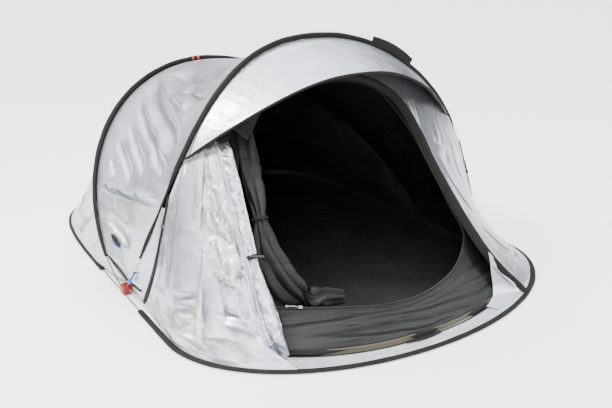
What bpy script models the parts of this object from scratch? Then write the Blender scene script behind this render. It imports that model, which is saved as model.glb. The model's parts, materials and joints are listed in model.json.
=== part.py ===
"""A two-hoop pop-up camping tent: sprung rods in fabric sleeves, a silver flysheet over a black inner tent,
and a front door that is tied back at the left. Metres, +Z up, the door faces -Y, +X is the door's right."""

import math

import bmesh
import bpy
import numpy as np
from mathutils import Vector

# Driving dimensions of the base hoop, in plan
HOOP_HALF_WIDTH = 0.950
HOOP_WIDEST_Y = -0.628
HOOP_FRONT_REACH = 0.597
HOOP_REAR_REACH = 1.853
HOOP_FRONT_POWER = 2.035
HOOP_REAR_POWER = 6.437
HOOP_Z = 0.0065

# The two arches, each on its own leaning plane, which starts at the side junctions
JUNCTION_X = 0.944
JUNCTION_Y = -0.101
FRONT_ARCH = {"start": -11.7, "power": 2.226, "half_width": 0.9615, "rise": 1.4290, "lean": -39.6, "push": 0.794}
REAR_ARCH = {"start": 10.6, "power": 1.895, "half_width": 0.9623, "rise": 1.4018, "lean": 53.2, "push": 0.002}

# The groundsheet, in plan, and the inner tent's arches as shares of the outer ones
FLOOR_HALF_WIDTH = 0.780
FLOOR_FRONT_REACH = 0.507
FLOOR_REAR_REACH = 1.753
FLOOR_FRONT_POWER = 2.05
FLOOR_REAR_POWER = 5.5
INNER_X_SHARE = 0.868
INNER_Y_SHARE = 0.930
INNER_Z_SHARE = 0.935

# Sections
ROD_RADIUS = 0.0028
ARCH_SLEEVE_RADIUS = 0.0135
BASE_SLEEVE_RADIUS = 0.0135
BASE_SLEEVE_HALF_HEIGHT = 0.0065
SLEEVE_WALL = 0.0012
FABRIC = 0.0015
GAP = 0.0015
BINDING_RADIUS = 0.0060
ZIP_WIDTH = 0.010
ZIP_THICKNESS = 0.003
ZIP_GAP = 0.0022
ZIP_STEPS = 10

# How finely the roof and the rear wall are divided
ROOF_COLUMNS = 26
ROOF_ROWS = 6
REAR_COLUMNS = 28
REAR_ROWS = 5

# How far the fabric hangs in from the straight line between its edges
ROOF_SAG = 0.050
REAR_SAG = 0.035
INNER_SAG = 0.060

# Where things start and stop, as shares of an arch's length from its left foot
ARCH_SLEEVE_START = 0.068
REAR_SLEEVE_START = 0.055
FRONT_HEM = 0.027
REAR_HEM = 0.060
ZIP_TOP = 0.184
DOOR_LEFT_TOP = 0.310
DOOR_RIGHT_TOP = 0.655
HOOD_START = 0.242
HOOD_ROOT = 0.229
HOOD_FORWARD = 0.376
HOOD_DROP = 0.119
HOOD_NARROWING = 0.216
HOOD_FULLNESS = 0.969

# The door's edges, the side zips and the door's tie, as seen from the front
ZIP_HEAD = Vector((-0.809, -0.384, 0.529))
ZIP_KNEE = Vector((-0.893, -0.406, 0.262))
ZIP_FOOT = Vector((-0.921, -0.296, 0.030))
REAR_CORNER = Vector((-0.931, -0.072, 0.052))

# The groundsheet and the inner fabric
SHEET = 0.0020
INNER_FABRIC = 0.0012
FLOOR_MIDDLE_Y = 0.100
LIP_LEAN = 0.003
LIP_HEIGHT = 0.026
WALL_FOOT = LIP_HEIGHT + 0.0030
INNER_GAP = 0.009
INNER_SEAM = 0.002
INNER_COLUMNS = 20
INNER_START = 0.014
INNER_REAR_SAG = 0.045
INNER_FRONT_SAG = 0.060

COLOURS = {
    "fly": (0.62, 0.62, 0.61, 1.0),
    "sleeve": (0.045, 0.043, 0.042, 1.0),
    "inner": (0.040, 0.040, 0.042, 1.0),
    "groundsheet": (0.10, 0.09, 0.07, 1.0),
    "rod": (0.05, 0.05, 0.05, 1.0),
    "red_plastic": (0.40, 0.035, 0.018, 1.0),
    "blue_plastic": (0.02, 0.13, 0.52, 1.0),
    "metal": (0.55, 0.54, 0.52, 1.0),
    "cord": (0.55, 0.48, 0.36, 1.0),
}
TINY = 1e-9
UP = Vector((0.0, 0.0, 1.0))
HEART = Vector((0.0, 0.25, 0.25))


def remove_everything():
    for item in list(bpy.data.objects):
        bpy.data.objects.remove(item, do_unlink=True)


remove_everything()
tent = bpy.data.collections.new("camping_tent")
bpy.context.scene.collection.children.link(tent)
cutters = bpy.data.collections.new("cutters")
bpy.context.scene.collection.children.link(cutters)


# Curves that the tent is drawn from


def signed_power(value, exponent):
    return np.sign(value) * np.maximum(np.abs(value), TINY) ** exponent


def outline(angle, half_width, widest_y, front_reach, rear_reach, front_power, rear_power):
    """A closed outline in plan: a rounder front half and a squarer rear half."""
    rear = np.sin(angle) > 0
    power = np.where(rear, rear_power, front_power)
    reach = np.where(rear, rear_reach, front_reach)
    x = half_width * signed_power(np.cos(angle), 2 / power)
    y = widest_y + reach * signed_power(np.sin(angle), 2 / power)
    return np.stack([x, y, np.full(angle.shape, HOOP_Z)], -1)


def arch_points(share, start, power, half_width, rise, lean, push):
    """An arch from the left junction (share 0) over the top to the right junction (share 1)."""
    first = math.radians(start)
    angle = math.pi + first - (math.pi + 2 * first) * share
    foot = math.copysign(abs(math.sin(first)) ** (2 / power), first)
    height = (signed_power(np.sin(angle), 2 / power) + foot) / (1 + foot)
    x = half_width * signed_power(np.cos(angle), 2 / power)
    y = JUNCTION_Y + rise * height * math.sin(math.radians(lean)) + push * height ** 2
    z = HOOP_Z + rise * height * math.cos(math.radians(lean))
    return np.stack([x, y, z], -1)


class Line:
    """A curve in space, read by the share of its length from 0 to 1."""

    def __init__(self, points):
        self.points = np.array([tuple(p) for p in points], dtype=float)
        steps = np.linalg.norm(np.diff(self.points, axis=0), axis=1)
        self.lengths = np.concatenate([[0.0], np.cumsum(steps)])
        self.length = self.lengths[-1]

    def at(self, share):
        place = min(max(share, 0.0), 1.0) * self.length
        return Vector([float(np.interp(place, self.lengths, self.points[:, axis])) for axis in range(3)])

    def part(self, start, end, count):
        return [self.at(start + (end - start) * i / (count - 1)) for i in range(count)]


def smooth(points, count=120):
    """A smooth line through a few points (Catmull-Rom)."""
    rows = [Vector(p) for p in points]
    rows = [rows[0] * 2 - rows[1]] + rows + [rows[-1] * 2 - rows[-2]]
    spans = len(rows) - 3
    result = []
    for step in range(count):
        place = step / (count - 1) * spans
        first = min(int(place), spans - 1)
        t = place - first
        a, b, c, d = rows[first:first + 4]
        bend = b * 2 + (c - a) * t + (a * 2 - b * 5 + c * 4 - d) * t ** 2 + (b * 3 - a - c * 3 + d) * t ** 3
        result.append(bend * 0.5)
    return Line(result)


def half_outlines(half_width, widest_y, front_reach, rear_reach, front_power, rear_power):
    """The front and the rear half of an outline, each from the left junction line to the right one."""
    angle = np.linspace(0, 2 * math.pi, 20001)[:-1]
    ring = outline(angle, half_width, widest_y, front_reach, rear_reach, front_power, rear_power)
    behind = ring[:, 1] > JUNCTION_Y
    first = int(np.argmax(behind))
    last = len(behind) - int(np.argmax(behind[::-1]))
    side = half_width * (1 - ((JUNCTION_Y - widest_y) / rear_reach) ** rear_power) ** (1 / rear_power)
    left = [[-side, JUNCTION_Y, HOOP_Z]]
    right = [[side, JUNCTION_Y, HOOP_Z]]
    front = np.concatenate([left, ring[last:], ring[:first], right])
    rear = np.concatenate([right, ring[first:last], left])[::-1]
    return Line(front), Line(rear)


SHARES = np.linspace(0, 1, 3001)
front_arch = Line(arch_points(SHARES, **FRONT_ARCH))
rear_arch = Line(arch_points(SHARES, **REAR_ARCH))
hoop_front, hoop_rear = half_outlines(
    HOOP_HALF_WIDTH, HOOP_WIDEST_Y, HOOP_FRONT_REACH, HOOP_REAR_REACH, HOOP_FRONT_POWER, HOOP_REAR_POWER
)
floor_front, floor_rear = half_outlines(
    FLOOR_HALF_WIDTH, HOOP_WIDEST_Y, FLOOR_FRONT_REACH, FLOOR_REAR_REACH, FLOOR_FRONT_POWER, FLOOR_REAR_POWER
)


def inner_line(arch):
    """The inner tent hangs inside an arch, on the same feet line."""
    points = arch.points.copy()
    points[:, 0] *= INNER_X_SHARE
    points[:, 1] = JUNCTION_Y + (points[:, 1] - JUNCTION_Y) * INNER_Y_SHARE
    points[:, 2] *= INNER_Z_SHARE
    return Line(points)


inner_front_arch = inner_line(front_arch)
inner_rear_arch = inner_line(rear_arch)


def mirrored(point):
    return Vector((-point[0], point[1], point[2]))


# Tools that turn curves and surfaces into objects


def material(name):
    found = bpy.data.materials.get(name)
    if found:
        return found
    made = bpy.data.materials.new(name)
    made.use_nodes = True
    shader = made.node_tree.nodes["Principled BSDF"]
    shader.inputs["Base Color"].default_value = COLOURS[name]
    shader.inputs["Roughness"].default_value = 0.35 if name in ("metal", "rod") else 0.6
    shader.inputs["Metallic"].default_value = 1.0 if name == "metal" else 0.0
    return made


def add(name, mesh, slot, location=(0, 0, 0), rotation=None):
    made = bpy.data.objects.new(name, mesh)
    made.location = location
    if rotation is not None:
        made.rotation_euler = rotation
    if mesh.materials:
        mesh.materials[0] = material(slot)
    else:
        mesh.materials.append(material(slot))
    tent.objects.link(made)
    return made


def panel(name, surface, columns, rows, slot, thickness=FABRIC, wrap=False):
    """A sheet of fabric: a grid laid on a surface, then given its thickness."""
    grid = bmesh.new()
    bmesh.ops.create_grid(grid, x_segments=columns, y_segments=rows, size=0.5)
    for corner in grid.verts:
        corner.co = surface(corner.co.x + 0.5, corner.co.y + 0.5)
    if wrap:
        bmesh.ops.remove_doubles(grid, verts=grid.verts, dist=0.0001)
    bmesh.ops.recalc_face_normals(grid, faces=grid.faces)
    mesh = bpy.data.meshes.new(name)
    grid.to_mesh(mesh)
    grid.free()
    mesh.shade_smooth()
    made = add(name, mesh, slot)
    shell = made.modifiers.new("thickness", "SOLIDIFY")
    shell.thickness = thickness
    shell.offset = 0.0
    return made


def curve_object(name, points, radius, sides, capped=True, closed=False):
    data = bpy.data.curves.new(name, "CURVE")
    data.dimensions = "3D"
    data.bevel_depth = radius
    data.bevel_resolution = max(sides // 2 - 2, 0)
    data.use_fill_caps = capped
    data.twist_mode = "MINIMUM"
    spline = data.splines.new("POLY")
    spline.points.add(len(points) - 1)
    spline.use_cyclic_u = closed
    for place, point in zip(spline.points, points):
        place.co = (point[0], point[1], point[2], 1.0)
    return data


def rod(name, points, radius, slot, sides=6, closed=False):
    """A solid rod, wire, cord or binding along a line."""
    data = curve_object(name, points, radius, sides, True, closed)
    made = bpy.data.objects.new(name, data)
    data.materials.append(material(slot))
    tent.objects.link(made)
    return made


def curve_mesh(name, data):
    """The mesh of a curve, with its caps welded."""
    holder = bpy.data.objects.new(name + "_curve", data)
    tent.objects.link(holder)
    bpy.context.view_layer.update()
    mesh = bpy.data.meshes.new_from_object(holder.evaluated_get(bpy.context.evaluated_depsgraph_get()))
    bpy.data.objects.remove(holder, do_unlink=True)
    weld = bmesh.new()
    weld.from_mesh(mesh)
    bmesh.ops.remove_doubles(weld, verts=weld.verts, dist=0.00001)
    bmesh.ops.recalc_face_normals(weld, faces=weld.faces)
    weld.to_mesh(mesh)
    weld.free()
    mesh.name = name
    return mesh


def sleeve(name, points, radius, slot, flatten=1.0, flat_z=0.0, wall=SLEEVE_WALL, sides=8):
    """An open fabric tube round a rod. A base sleeve is flattened where it lies on the ground."""
    mesh = curve_mesh(name, curve_object(name, points, radius, sides, capped=False))
    if flatten < 1.0:
        for corner in mesh.vertices:
            corner.co.z = flat_z + (corner.co.z - flat_z) * flatten
    mesh.shade_smooth()
    made = add(name, mesh, slot)
    shell = made.modifiers.new("wall", "SOLIDIFY")
    shell.thickness = wall
    shell.offset = -1.0
    return made


def loft(name, rings, slot, closed=False, soft=False):
    """A solid through rings of points, with flat ends, or a closed band when the last ring meets the first."""
    body = bmesh.new()
    rows = [[body.verts.new(point) for point in ring] for ring in rings]
    pairs = list(zip(rows, rows[1:]))
    if closed:
        pairs.append((rows[-1], rows[0]))
    else:
        body.faces.new(rows[0])
        body.faces.new(rows[-1])
    for low, high in pairs:
        for side in range(len(low)):
            after = (side + 1) % len(low)
            body.faces.new([low[side], low[after], high[after], high[side]])
    bmesh.ops.recalc_face_normals(body, faces=body.faces)
    mesh = bpy.data.meshes.new(name)
    body.to_mesh(mesh)
    body.free()
    if soft:
        mesh.shade_smooth()
    return add(name, mesh, slot)


def frame_at(origin, along, outward):
    """Places local points: x along a direction, z facing outward, y across."""
    x = Vector(along).normalized()
    y = Vector(outward).cross(x).normalized()
    z = x.cross(y)
    return lambda a, b, c: Vector(origin) + x * a + y * b + z * c


def turned(place, profile, sides=10):
    """Rings of a turned piece about the local x axis, from (x, radius) pairs."""
    rings = []
    for x, radius in profile:
        turns = [2 * math.pi * side / sides for side in range(sides)]
        rings.append([place(x, radius * math.cos(a), radius * math.sin(a)) for a in turns])
    return rings


def both_sides(name, rings, slot, closed=False, soft=False):
    """The same piece on the left and, mirrored, on the right."""
    other = [[mirrored(point) for point in ring] for ring in rings]
    return (loft(name + "_left", rings, slot, closed, soft), loft(name + "_right", other, slot, closed, soft))


def carve(made, name, rings):
    """Cuts a hole or a socket."""
    cutter = loft(name, rings, "metal")
    tent.objects.unlink(cutter)
    cutters.objects.link(cutter)
    cutter.hide_render = True
    cutter.display_type = "WIRE"
    cut = made.modifiers.new(name, "BOOLEAN")
    cut.object = cutter
    cut.operation = "DIFFERENCE"


ARCH_CLEAR = ARCH_SLEEVE_RADIUS + GAP
BASE_CLEAR = BASE_SLEEVE_RADIUS + GAP


# Rods and their sleeves


ROD_END = 0.013
RODS = {
    "front_arch": (front_arch, 25),
    "rear_arch": (rear_arch, 25),
    "base_front": (hoop_front, 25),
    "base_rear": (hoop_rear, 37),
}


def rod_points(name):
    """A rod's corners, from just beside the left junction to just beside the right one."""
    line, count = RODS[name]
    start = ROD_END / line.length
    return line.part(start, 1 - start, count)


def make_frame():
    """Four sprung rods between the two side junctions: the base hoop's halves and the two arches."""
    for name in RODS:
        rod(name + "_rod", rod_points(name), ROD_RADIUS, "rod")
    sleeve("front_arch_sleeve", front_arch.part(ARCH_SLEEVE_START, 1 - ARCH_SLEEVE_START, 29),
           ARCH_SLEEVE_RADIUS, "sleeve")
    sleeve("rear_arch_sleeve", rear_arch.part(REAR_SLEEVE_START, 1 - REAR_SLEEVE_START, 29),
           ARCH_SLEEVE_RADIUS, "sleeve")
    flatten = BASE_SLEEVE_HALF_HEIGHT / BASE_SLEEVE_RADIUS
    sleeve("base_front_sleeve", hoop_front.part(0.060, 0.940, 31), BASE_SLEEVE_RADIUS, "sleeve", flatten, HOOP_Z)
    sleeve("base_rear_sleeve", hoop_rear.part(0.072, 0.928, 37), BASE_SLEEVE_RADIUS, "sleeve", flatten, HOOP_Z)


make_frame()


# The fabric's surfaces


def way_clear(line, share, towards, radius):
    """A point on the way from a line to another point, just outside the tube of that radius round the line."""
    start = line.at(share)
    way = (towards - start).normalized()
    tangent = (line.at(share + 0.002) - line.at(share - 0.002)).normalized()
    slant = max(way.cross(tangent).length, 0.35)
    return start + way * (radius / slant)


def arch_radius(share, sleeve_start):
    """What the fabric has to clear round an arch: its sleeve, or the bare rod beyond the sleeve."""
    covered = sleeve_start - 0.014 < share < 1 - sleeve_start + 0.014
    return ARCH_CLEAR if covered else ROD_RADIUS + GAP


def hang(point, start, end, share, depth):
    """Moves a point of a ruled surface towards the inside of the tent, most at the middle."""
    middle = (start + end) / 2
    inside = (HEART - middle).normalized()
    return point + inside * depth * math.sin(math.pi * share)


def roof(u, v):
    """Between the arches, v from the front one (0) to the rear one (1)."""
    first = FRONT_HEM + (REAR_HEM - FRONT_HEM) * v
    share = first + (1 - 2 * first) * u
    front = front_arch.at(share)
    rear = rear_arch.at(share)
    start = way_clear(front_arch, share, rear, arch_radius(share, ARCH_SLEEVE_START))
    end = way_clear(rear_arch, share, front, ARCH_CLEAR)
    taut = max(math.sin(math.pi * u), TINY) ** 0.35
    return hang(start.lerp(end, v), front, rear, v, ROOF_SAG * taut)


def rear_wall(u, v):
    """Between the rear arch (v = 0) and the base hoop (v = 1), with its last corners reaching the side junctions."""
    share = REAR_HEM + 0.003 + (1 - 2 * REAR_HEM - 0.006) * u
    top = rear_arch.at(share)
    foot = hoop_rear.at(share)
    corner = REAR_CORNER if u < 0.5 else mirrored(REAR_CORNER)
    ending = max(1 - REAR_COLUMNS * min(u, 1 - u), 0.0)
    start = way_clear(rear_arch, share, foot, ARCH_CLEAR + 0.006 * ending)
    end = way_clear(hoop_rear, share, top, BASE_CLEAR).lerp(corner, ending)
    return hang(start.lerp(end, v), top, foot, v, REAR_SAG * max(math.sin(math.pi * u), TINY) ** 0.35)


def front_plain(share, drop):
    """The straight-ruled front, from the front arch (drop 0) to the base hoop's front half (drop 1)."""
    return front_arch.at(share).lerp(hoop_front.at(share), drop)


def facing_at(share, drop):
    """Which way the ruled front faces."""
    across = front_plain(share + 0.01, drop) - front_plain(share - 0.01, drop)
    down = front_plain(share, min(drop + 0.02, 1)) - front_plain(share, max(drop - 0.02, 0))
    facing = down.cross(across).normalized()
    return facing if facing.y < 0 else -facing


def zip_path():
    """The side zip's line: straight to its knee, then bending in to the foot of the arch."""
    lead = ZIP_KNEE + (ZIP_KNEE - ZIP_HEAD).normalized() * 0.11
    bend = [ZIP_KNEE.lerp(lead, t).lerp(lead.lerp(ZIP_FOOT, t), t) for t in np.linspace(0, 1, 9)]
    return Line([ZIP_HEAD] + bend)


side_zip = zip_path()
ZIP_FACING = Vector((-0.90, -0.30, 0.31)).normalized()


def zip_side(share):
    along = (side_zip.at(share + 0.01) - side_zip.at(share - 0.01)).normalized()
    return ZIP_FACING.cross(along).normalized()


def zip_edge(share, sign):
    """The edge of the fabric beside the side zip: sign +1 towards the door, -1 towards the arch."""
    side = zip_side(share)
    if side.y > 0:
        side = -side
    return side_zip.at(share) + side * sign * (ZIP_WIDTH / 2 + ZIP_GAP)


def gusset(u, v):
    """The left side panel in front of the arch: u up its height, v from the arch (0) to the zip (1)."""
    arch_share = FRONT_HEM + (0.162 - FRONT_HEM) * u
    zip_share = 1.0 - (1 - 1 / ZIP_STEPS) * u
    target = zip_edge(zip_share, -1)
    start = way_clear(front_arch, arch_share, target, arch_radius(arch_share, ARCH_SLEEVE_START))
    return start.lerp(target, v)


def base_edge(share, lift=0.004):
    """The fabric's foot, just inside the front of the base sleeve."""
    along = hoop_front.at(share + 0.002) - hoop_front.at(share - 0.002)
    inward = UP.cross(along).normalized()
    return hoop_front.at(share) + inward * BASE_CLEAR + UP * lift


def fit_patch(left, right, bottom, top, u, v, sag):
    """A Coons patch between four edge curves, whose ends are pulled together at the corners."""
    low = bottom(u) + (left(0) - bottom(0)) * (1 - u) ** 4 + (right(0) - bottom(1)) * u ** 4
    high = top(u) + (left(1) - top(0)) * (1 - u) + (right(1) - top(1)) * u
    across = left(v) * (1 - u) + right(v) * u
    corners = (left(0) * (1 - u) + right(0) * u) * (1 - v) + (left(1) * (1 - u) + right(1) * u) * v
    point = across + low * (1 - v) + high * v - corners
    return point + sag * math.sin(math.pi * u) * math.sin(math.pi * v)


SEAM_HEAD = Vector((-0.612, -0.408, 0.752))
SEAM_FOOT = Vector((-0.690, -0.962, 0.075))
FRONT_SAG = Vector((0.040, 0.035, -0.018))
SEAM_TOP = DOOR_LEFT_TOP - 0.004
SEAM_BASE = 0.318
BASE_START = 0.060
left_seam = Line([base_edge(SEAM_BASE), SEAM_FOOT, SEAM_HEAD, front_arch.at(SEAM_TOP)])
UNDER_HOOD = 0.024
seam_reach = 1 - (ARCH_CLEAR + UNDER_HOOD + 0.004) / left_seam.length


def front_clear(share):
    """How far the front panels keep from the arch: more where the hood covers them."""
    covered = (min(share, 1 - share) - 0.222) / 0.022
    return ARCH_CLEAR + UNDER_HOOD * min(max(covered, 0.0), 1.0)


def front_top(share, towards):
    return way_clear(front_arch, share, towards, front_clear(share))


def front_left(u, v):
    """From the side zip (u = 0) to the door's seam (u = 1), v from the foot (0) up to the arch (1)."""
    return fit_patch(
        lambda t: zip_edge(1 - t, 1),
        lambda t: left_seam.at(t * seam_reach),
        lambda t: base_edge(BASE_START + (SEAM_BASE - BASE_START) * t),
        lambda t: front_top(ZIP_TOP + (SEAM_TOP - ZIP_TOP) * t, hoop_front.at(0.25)),
        u, v, FRONT_SAG,
    )


# The door opening's edge, as (share along the arch, drop) on the ruled front
DOOR_EDGE = [
    (0.322, 0.180),
    (0.380, 0.155),
    (0.460, 0.150),
    (0.530, 0.150),
    (0.583, 0.182),
    (0.605, 0.244),
    (0.611, 0.348),
    (0.610, 0.449),
    (0.614, 0.569),
    (0.619, 0.682),
    (0.626, 0.794),
    (0.645, 0.885),
    (0.678, 0.982),
]
DOOR_BAND = 0.022
door_shares = smooth([(a, b, 0.0) for a, b in DOOR_EDGE])


def door_edge(place, offset=0.0, lift=0.0):
    """A point beside the door opening's edge: offset away from the opening, lift out from the fabric."""
    share, drop, _ = door_shares.at(place)
    before = front_plain(*door_shares.at(place - 0.01)[:2])
    after = front_plain(*door_shares.at(place + 0.01)[:2])
    facing = facing_at(share, drop)
    side = (after - before).cross(facing).normalized()
    if side.z < -0.2 or side.x < -0.5:
        side = -side
    return front_plain(share, drop) + side * offset + facing * lift


BAND_START = 0.012
BAND_STEPS = 30
LINTEL_STEPS = 13
RISER_STEPS = 3
FABRIC_OFFSET = DOOR_BAND / 2 + GAP
RIGHT_BASE = 0.686
RIGHT_SAG = Vector((-0.052, 0.050, -0.025))


def band_place(step):
    """Where a step of the door's band lies along the door's edge, so that its neighbours can match its facets."""
    return BAND_START + (1 - 2 * BAND_START) * step / BAND_STEPS


def lintel(u, v):
    """The strip of flysheet over the door, v from the arch (0) down to the door's zip (1)."""
    foot = door_edge(band_place(LINTEL_STEPS * u), FABRIC_OFFSET)
    share = DOOR_LEFT_TOP + 0.001 + (DOOR_RIGHT_TOP - 0.003 - DOOR_LEFT_TOP) * u
    start = way_clear(front_arch, share, foot, ARCH_CLEAR)
    return start.lerp(foot, v)


def right_door_side(t):
    """The right panel's edge beside the door: up the door's band, then straight to the arch."""
    steps = BAND_STEPS - LINTEL_STEPS + RISER_STEPS
    step = t * steps
    along_band = BAND_STEPS - LINTEL_STEPS
    if step <= along_band:
        return door_edge(band_place(BAND_STEPS - step * (along_band - 0.06) / along_band), FABRIC_OFFSET)
    corner = door_edge(band_place(LINTEL_STEPS + 0.06), FABRIC_OFFSET)
    top = front_top(DOOR_RIGHT_TOP, corner)
    return corner.lerp(top, (step - along_band) / RISER_STEPS)


def front_right(u, v):
    """From the door's zip (u = 0) to the right side zip (u = 1), v from the foot (0) up to the arch (1)."""
    return fit_patch(
        right_door_side,
        lambda t: mirrored(zip_edge(1 - t, 1)),
        lambda t: base_edge(RIGHT_BASE + (1 - BASE_START - RIGHT_BASE) * t),
        lambda t: front_top(DOOR_RIGHT_TOP + (1 - ZIP_TOP - DOOR_RIGHT_TOP) * t, hoop_front.at(0.75)),
        u, v, RIGHT_SAG,
    )


def hood_line(share, back=0.0):
    """The hood's free front edge."""
    place = (share - HOOD_ROOT) / (1 - 2 * HOOD_ROOT)
    reach = max(math.sin(math.pi * place), TINY) ** HOOD_FULLNESS
    root = front_arch.at(share)
    out = Vector((-HOOD_NARROWING * root.x, -HOOD_FORWARD, -HOOD_DROP))
    clear = (root - HEART).normalized() * 0.018 * (1 - reach) ** 6
    return root + out * reach + clear - out.normalized() * back


def hood(u, v):
    """The awning, v from the arch (0) to its bound edge (1)."""
    share = HOOD_START + (1 - 2 * HOOD_START) * u
    edge = hood_line(share, BINDING_RADIUS + GAP)
    axis = front_arch.at(share)
    start = axis + ((edge - axis).normalized() + (axis - HEART).normalized() * 0.8).normalized() * ARCH_CLEAR * 1.04
    return start.lerp(edge, v) + UP * 0.012 * math.sin(math.pi * v) * math.sin(math.pi * u)


SKIRT_OUTER = (0.322, 0.674)
SKIRT_INNER = (0.288, 0.790)
SKIRT_ZIP = 0.010
SKIRT_STEPS = 18


def skirt_inner(share, back):
    """The skirt's inner edge, just in front of the groundsheet."""
    along = floor_front.at(share + 0.004) - floor_front.at(share - 0.004)
    outward = along.cross(UP).normalized()
    edge = floor_front.at(share) + outward * (0.008 + back)
    return Vector((edge.x, edge.y, 0.006))


def skirt(u, v):
    """The strip of flysheet that lies on the ground in front of the door."""
    start = base_edge(SKIRT_OUTER[0] + (SKIRT_OUTER[1] - SKIRT_OUTER[0]) * u, 0.001)
    end = skirt_inner(SKIRT_INNER[0] + (SKIRT_INNER[1] - SKIRT_INNER[0]) * u, SKIRT_ZIP + 2 * GAP)
    return start.lerp(end, v)


def make_flysheet():
    panel("fly_roof", roof, ROOF_COLUMNS, ROOF_ROWS, "fly")
    panel("fly_rear_wall", rear_wall, REAR_COLUMNS, REAR_ROWS, "fly")
    panel("fly_front_left", front_left, 8, ZIP_STEPS, "fly")
    panel("fly_front_right", front_right, 6, BAND_STEPS - LINTEL_STEPS + RISER_STEPS, "fly")
    panel("fly_gusset_left", gusset, ZIP_STEPS - 1, 2, "fly")
    panel("fly_gusset_right", lambda u, v: mirrored(gusset(u, v)), ZIP_STEPS - 1, 2, "fly")
    panel("fly_lintel", lintel, LINTEL_STEPS, 1, "fly")
    panel("fly_hood", hood, 18, 3, "fly")
    panel("fly_skirt", skirt, SKIRT_STEPS, 1, "fly")
    bound = HOOD_START
    rod("hood_binding", [hood_line(bound + (1 - 2 * bound) * i / 24) for i in range(25)], BINDING_RADIUS, "sleeve")


def make_zips():
    """The side zips, the door's band and the zip along the skirt."""
    def side_strip(u, v):
        return side_zip.at(u) + zip_side(u) * ZIP_WIDTH * (v - 0.5)

    panel("side_zip_left", side_strip, ZIP_STEPS, 1, "sleeve", ZIP_THICKNESS)
    panel("side_zip_right", lambda u, v: mirrored(side_strip(u, v)), ZIP_STEPS, 1, "sleeve", ZIP_THICKNESS)
    panel("door_zip_band", lambda u, v: door_edge(band_place(BAND_STEPS * u), (v - 0.5) * DOOR_BAND),
          BAND_STEPS, 1, "sleeve")

    def skirt_strip(u, v):
        return skirt_inner(SKIRT_INNER[0] + (SKIRT_INNER[1] - SKIRT_INNER[0]) * u, GAP + SKIRT_ZIP * v)

    panel("skirt_zip", skirt_strip, SKIRT_STEPS, 1, "sleeve", ZIP_THICKNESS)


make_flysheet()
make_zips()


# The inner tent


def floor_outline(share, lift):
    """The groundsheet's outline, front half for shares 0 to 1 and rear half back again for 1 to 2."""
    place = floor_front.at(share) if share <= 1 else floor_rear.at(2 - share)
    return Vector((place.x, place.y, lift))


def make_groundsheet():
    """A tray: flat out to its outline, with a lip turned up at the edge."""
    rings = [(0.5, 0.0), (1.0, 0.0), (1.0, 1.0)]
    steps = 44
    tray = bmesh.new()
    middle = Vector((0.0, FLOOR_MIDDLE_Y, SHEET / 2))
    rows = []
    for reach, rise in rings:
        row = []
        for step in range(steps):
            edge = floor_outline(2 * step / steps, SHEET / 2)
            place = middle.lerp(edge, reach) + (edge - middle).normalized() * LIP_LEAN * rise
            row.append(tray.verts.new(place + UP * LIP_HEIGHT * rise))
        rows.append(row)
    centre = tray.verts.new(middle)
    for step in range(steps):
        tray.faces.new([rows[0][step], rows[0][(step + 1) % steps], centre])
    for low, high in zip(rows, rows[1:]):
        for step in range(steps):
            after = (step + 1) % steps
            tray.faces.new([low[step], high[step], high[after], low[after]])
    bmesh.ops.recalc_face_normals(tray, faces=tray.faces)
    mesh = bpy.data.meshes.new("groundsheet")
    tray.to_mesh(mesh)
    tray.free()
    made = add("groundsheet", mesh, "groundsheet")
    shell = made.modifiers.new("thickness", "SOLIDIFY")
    shell.thickness = SHEET
    shell.offset = 0.0


def between(start, end, share, start_gap, end_gap=0.0):
    """A point between two edges, keeping a gap to each."""
    length = (end - start).length
    first = min(start_gap / length, 0.3)
    last = 1 - min(end_gap / length, 0.3)
    return start.lerp(end, first + (last - first) * share)


def inner_front_plain(share, drop):
    """The inner tent's front, from its arch (drop 0) to just above the groundsheet's lip (drop 1)."""
    foot = floor_front.at(share)
    foot.z = WALL_FOOT
    return between(inner_front_arch.at(share), foot, drop, INNER_GAP)


# The inner doorway, as (share along the arch, drop), from the top left clockwise
INNER_DOORWAY = [
    (0.322, 0.150),
    (0.400, 0.085),
    (0.500, 0.070),
    (0.578, 0.104),
    (0.622, 0.228),
    (0.638, 0.443),
    (0.638, 0.599),
    (0.642, 0.730),
    (0.618, 0.803),
    (0.580, 0.858),
    (0.540, 0.886),
    (0.500, 0.901),
    (0.466, 0.901),
    (0.435, 0.897),
    (0.395, 0.880),
    (0.350, 0.860),
    (0.300, 0.835),
    (0.272, 0.770),
    (0.275, 0.620),
    (0.288, 0.420),
    (0.300, 0.260),
]
DOORWAY_MIDDLE = (0.450, 0.500)
doorway_loop = smooth([(a, b, 0.0) for a, b in INNER_DOORWAY + INNER_DOORWAY[:1]], 240)


def inner_front(u, v):
    """The inner front wall: a ring of fabric from the doorway (v = 0) out to the wall's own edge (v = 1)."""
    share, drop, _ = doorway_loop.at(u)
    dx = share - DOORWAY_MIDDLE[0]
    dy = drop - DOORWAY_MIDDLE[1]
    reach_x = ((1 - INNER_START if dx > 0 else INNER_START) - DOORWAY_MIDDLE[0]) / dx if abs(dx) > TINY else 1e9
    reach_y = ((1.0 if dy > 0 else 0.0) - DOORWAY_MIDDLE[1]) / dy if abs(dy) > TINY else 1e9
    square = min(reach_x, reach_y)
    reach = 1 + (square - 1) * v
    across = DOORWAY_MIDDLE[0] + dx * reach
    down = DOORWAY_MIDDLE[1] + dy * reach
    inside = (HEART - inner_front_plain(across, down)).normalized()
    taut = math.sin(math.pi * min(max(down, 0.0), 1.0)) * math.sin(math.pi * min(max(across, 0.0), 1.0)) ** 0.5
    depth = INNER_FRONT_SAG * taut * min(2.5 * v, 1.0)
    return inner_front_plain(across, down) + inside * depth


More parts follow.
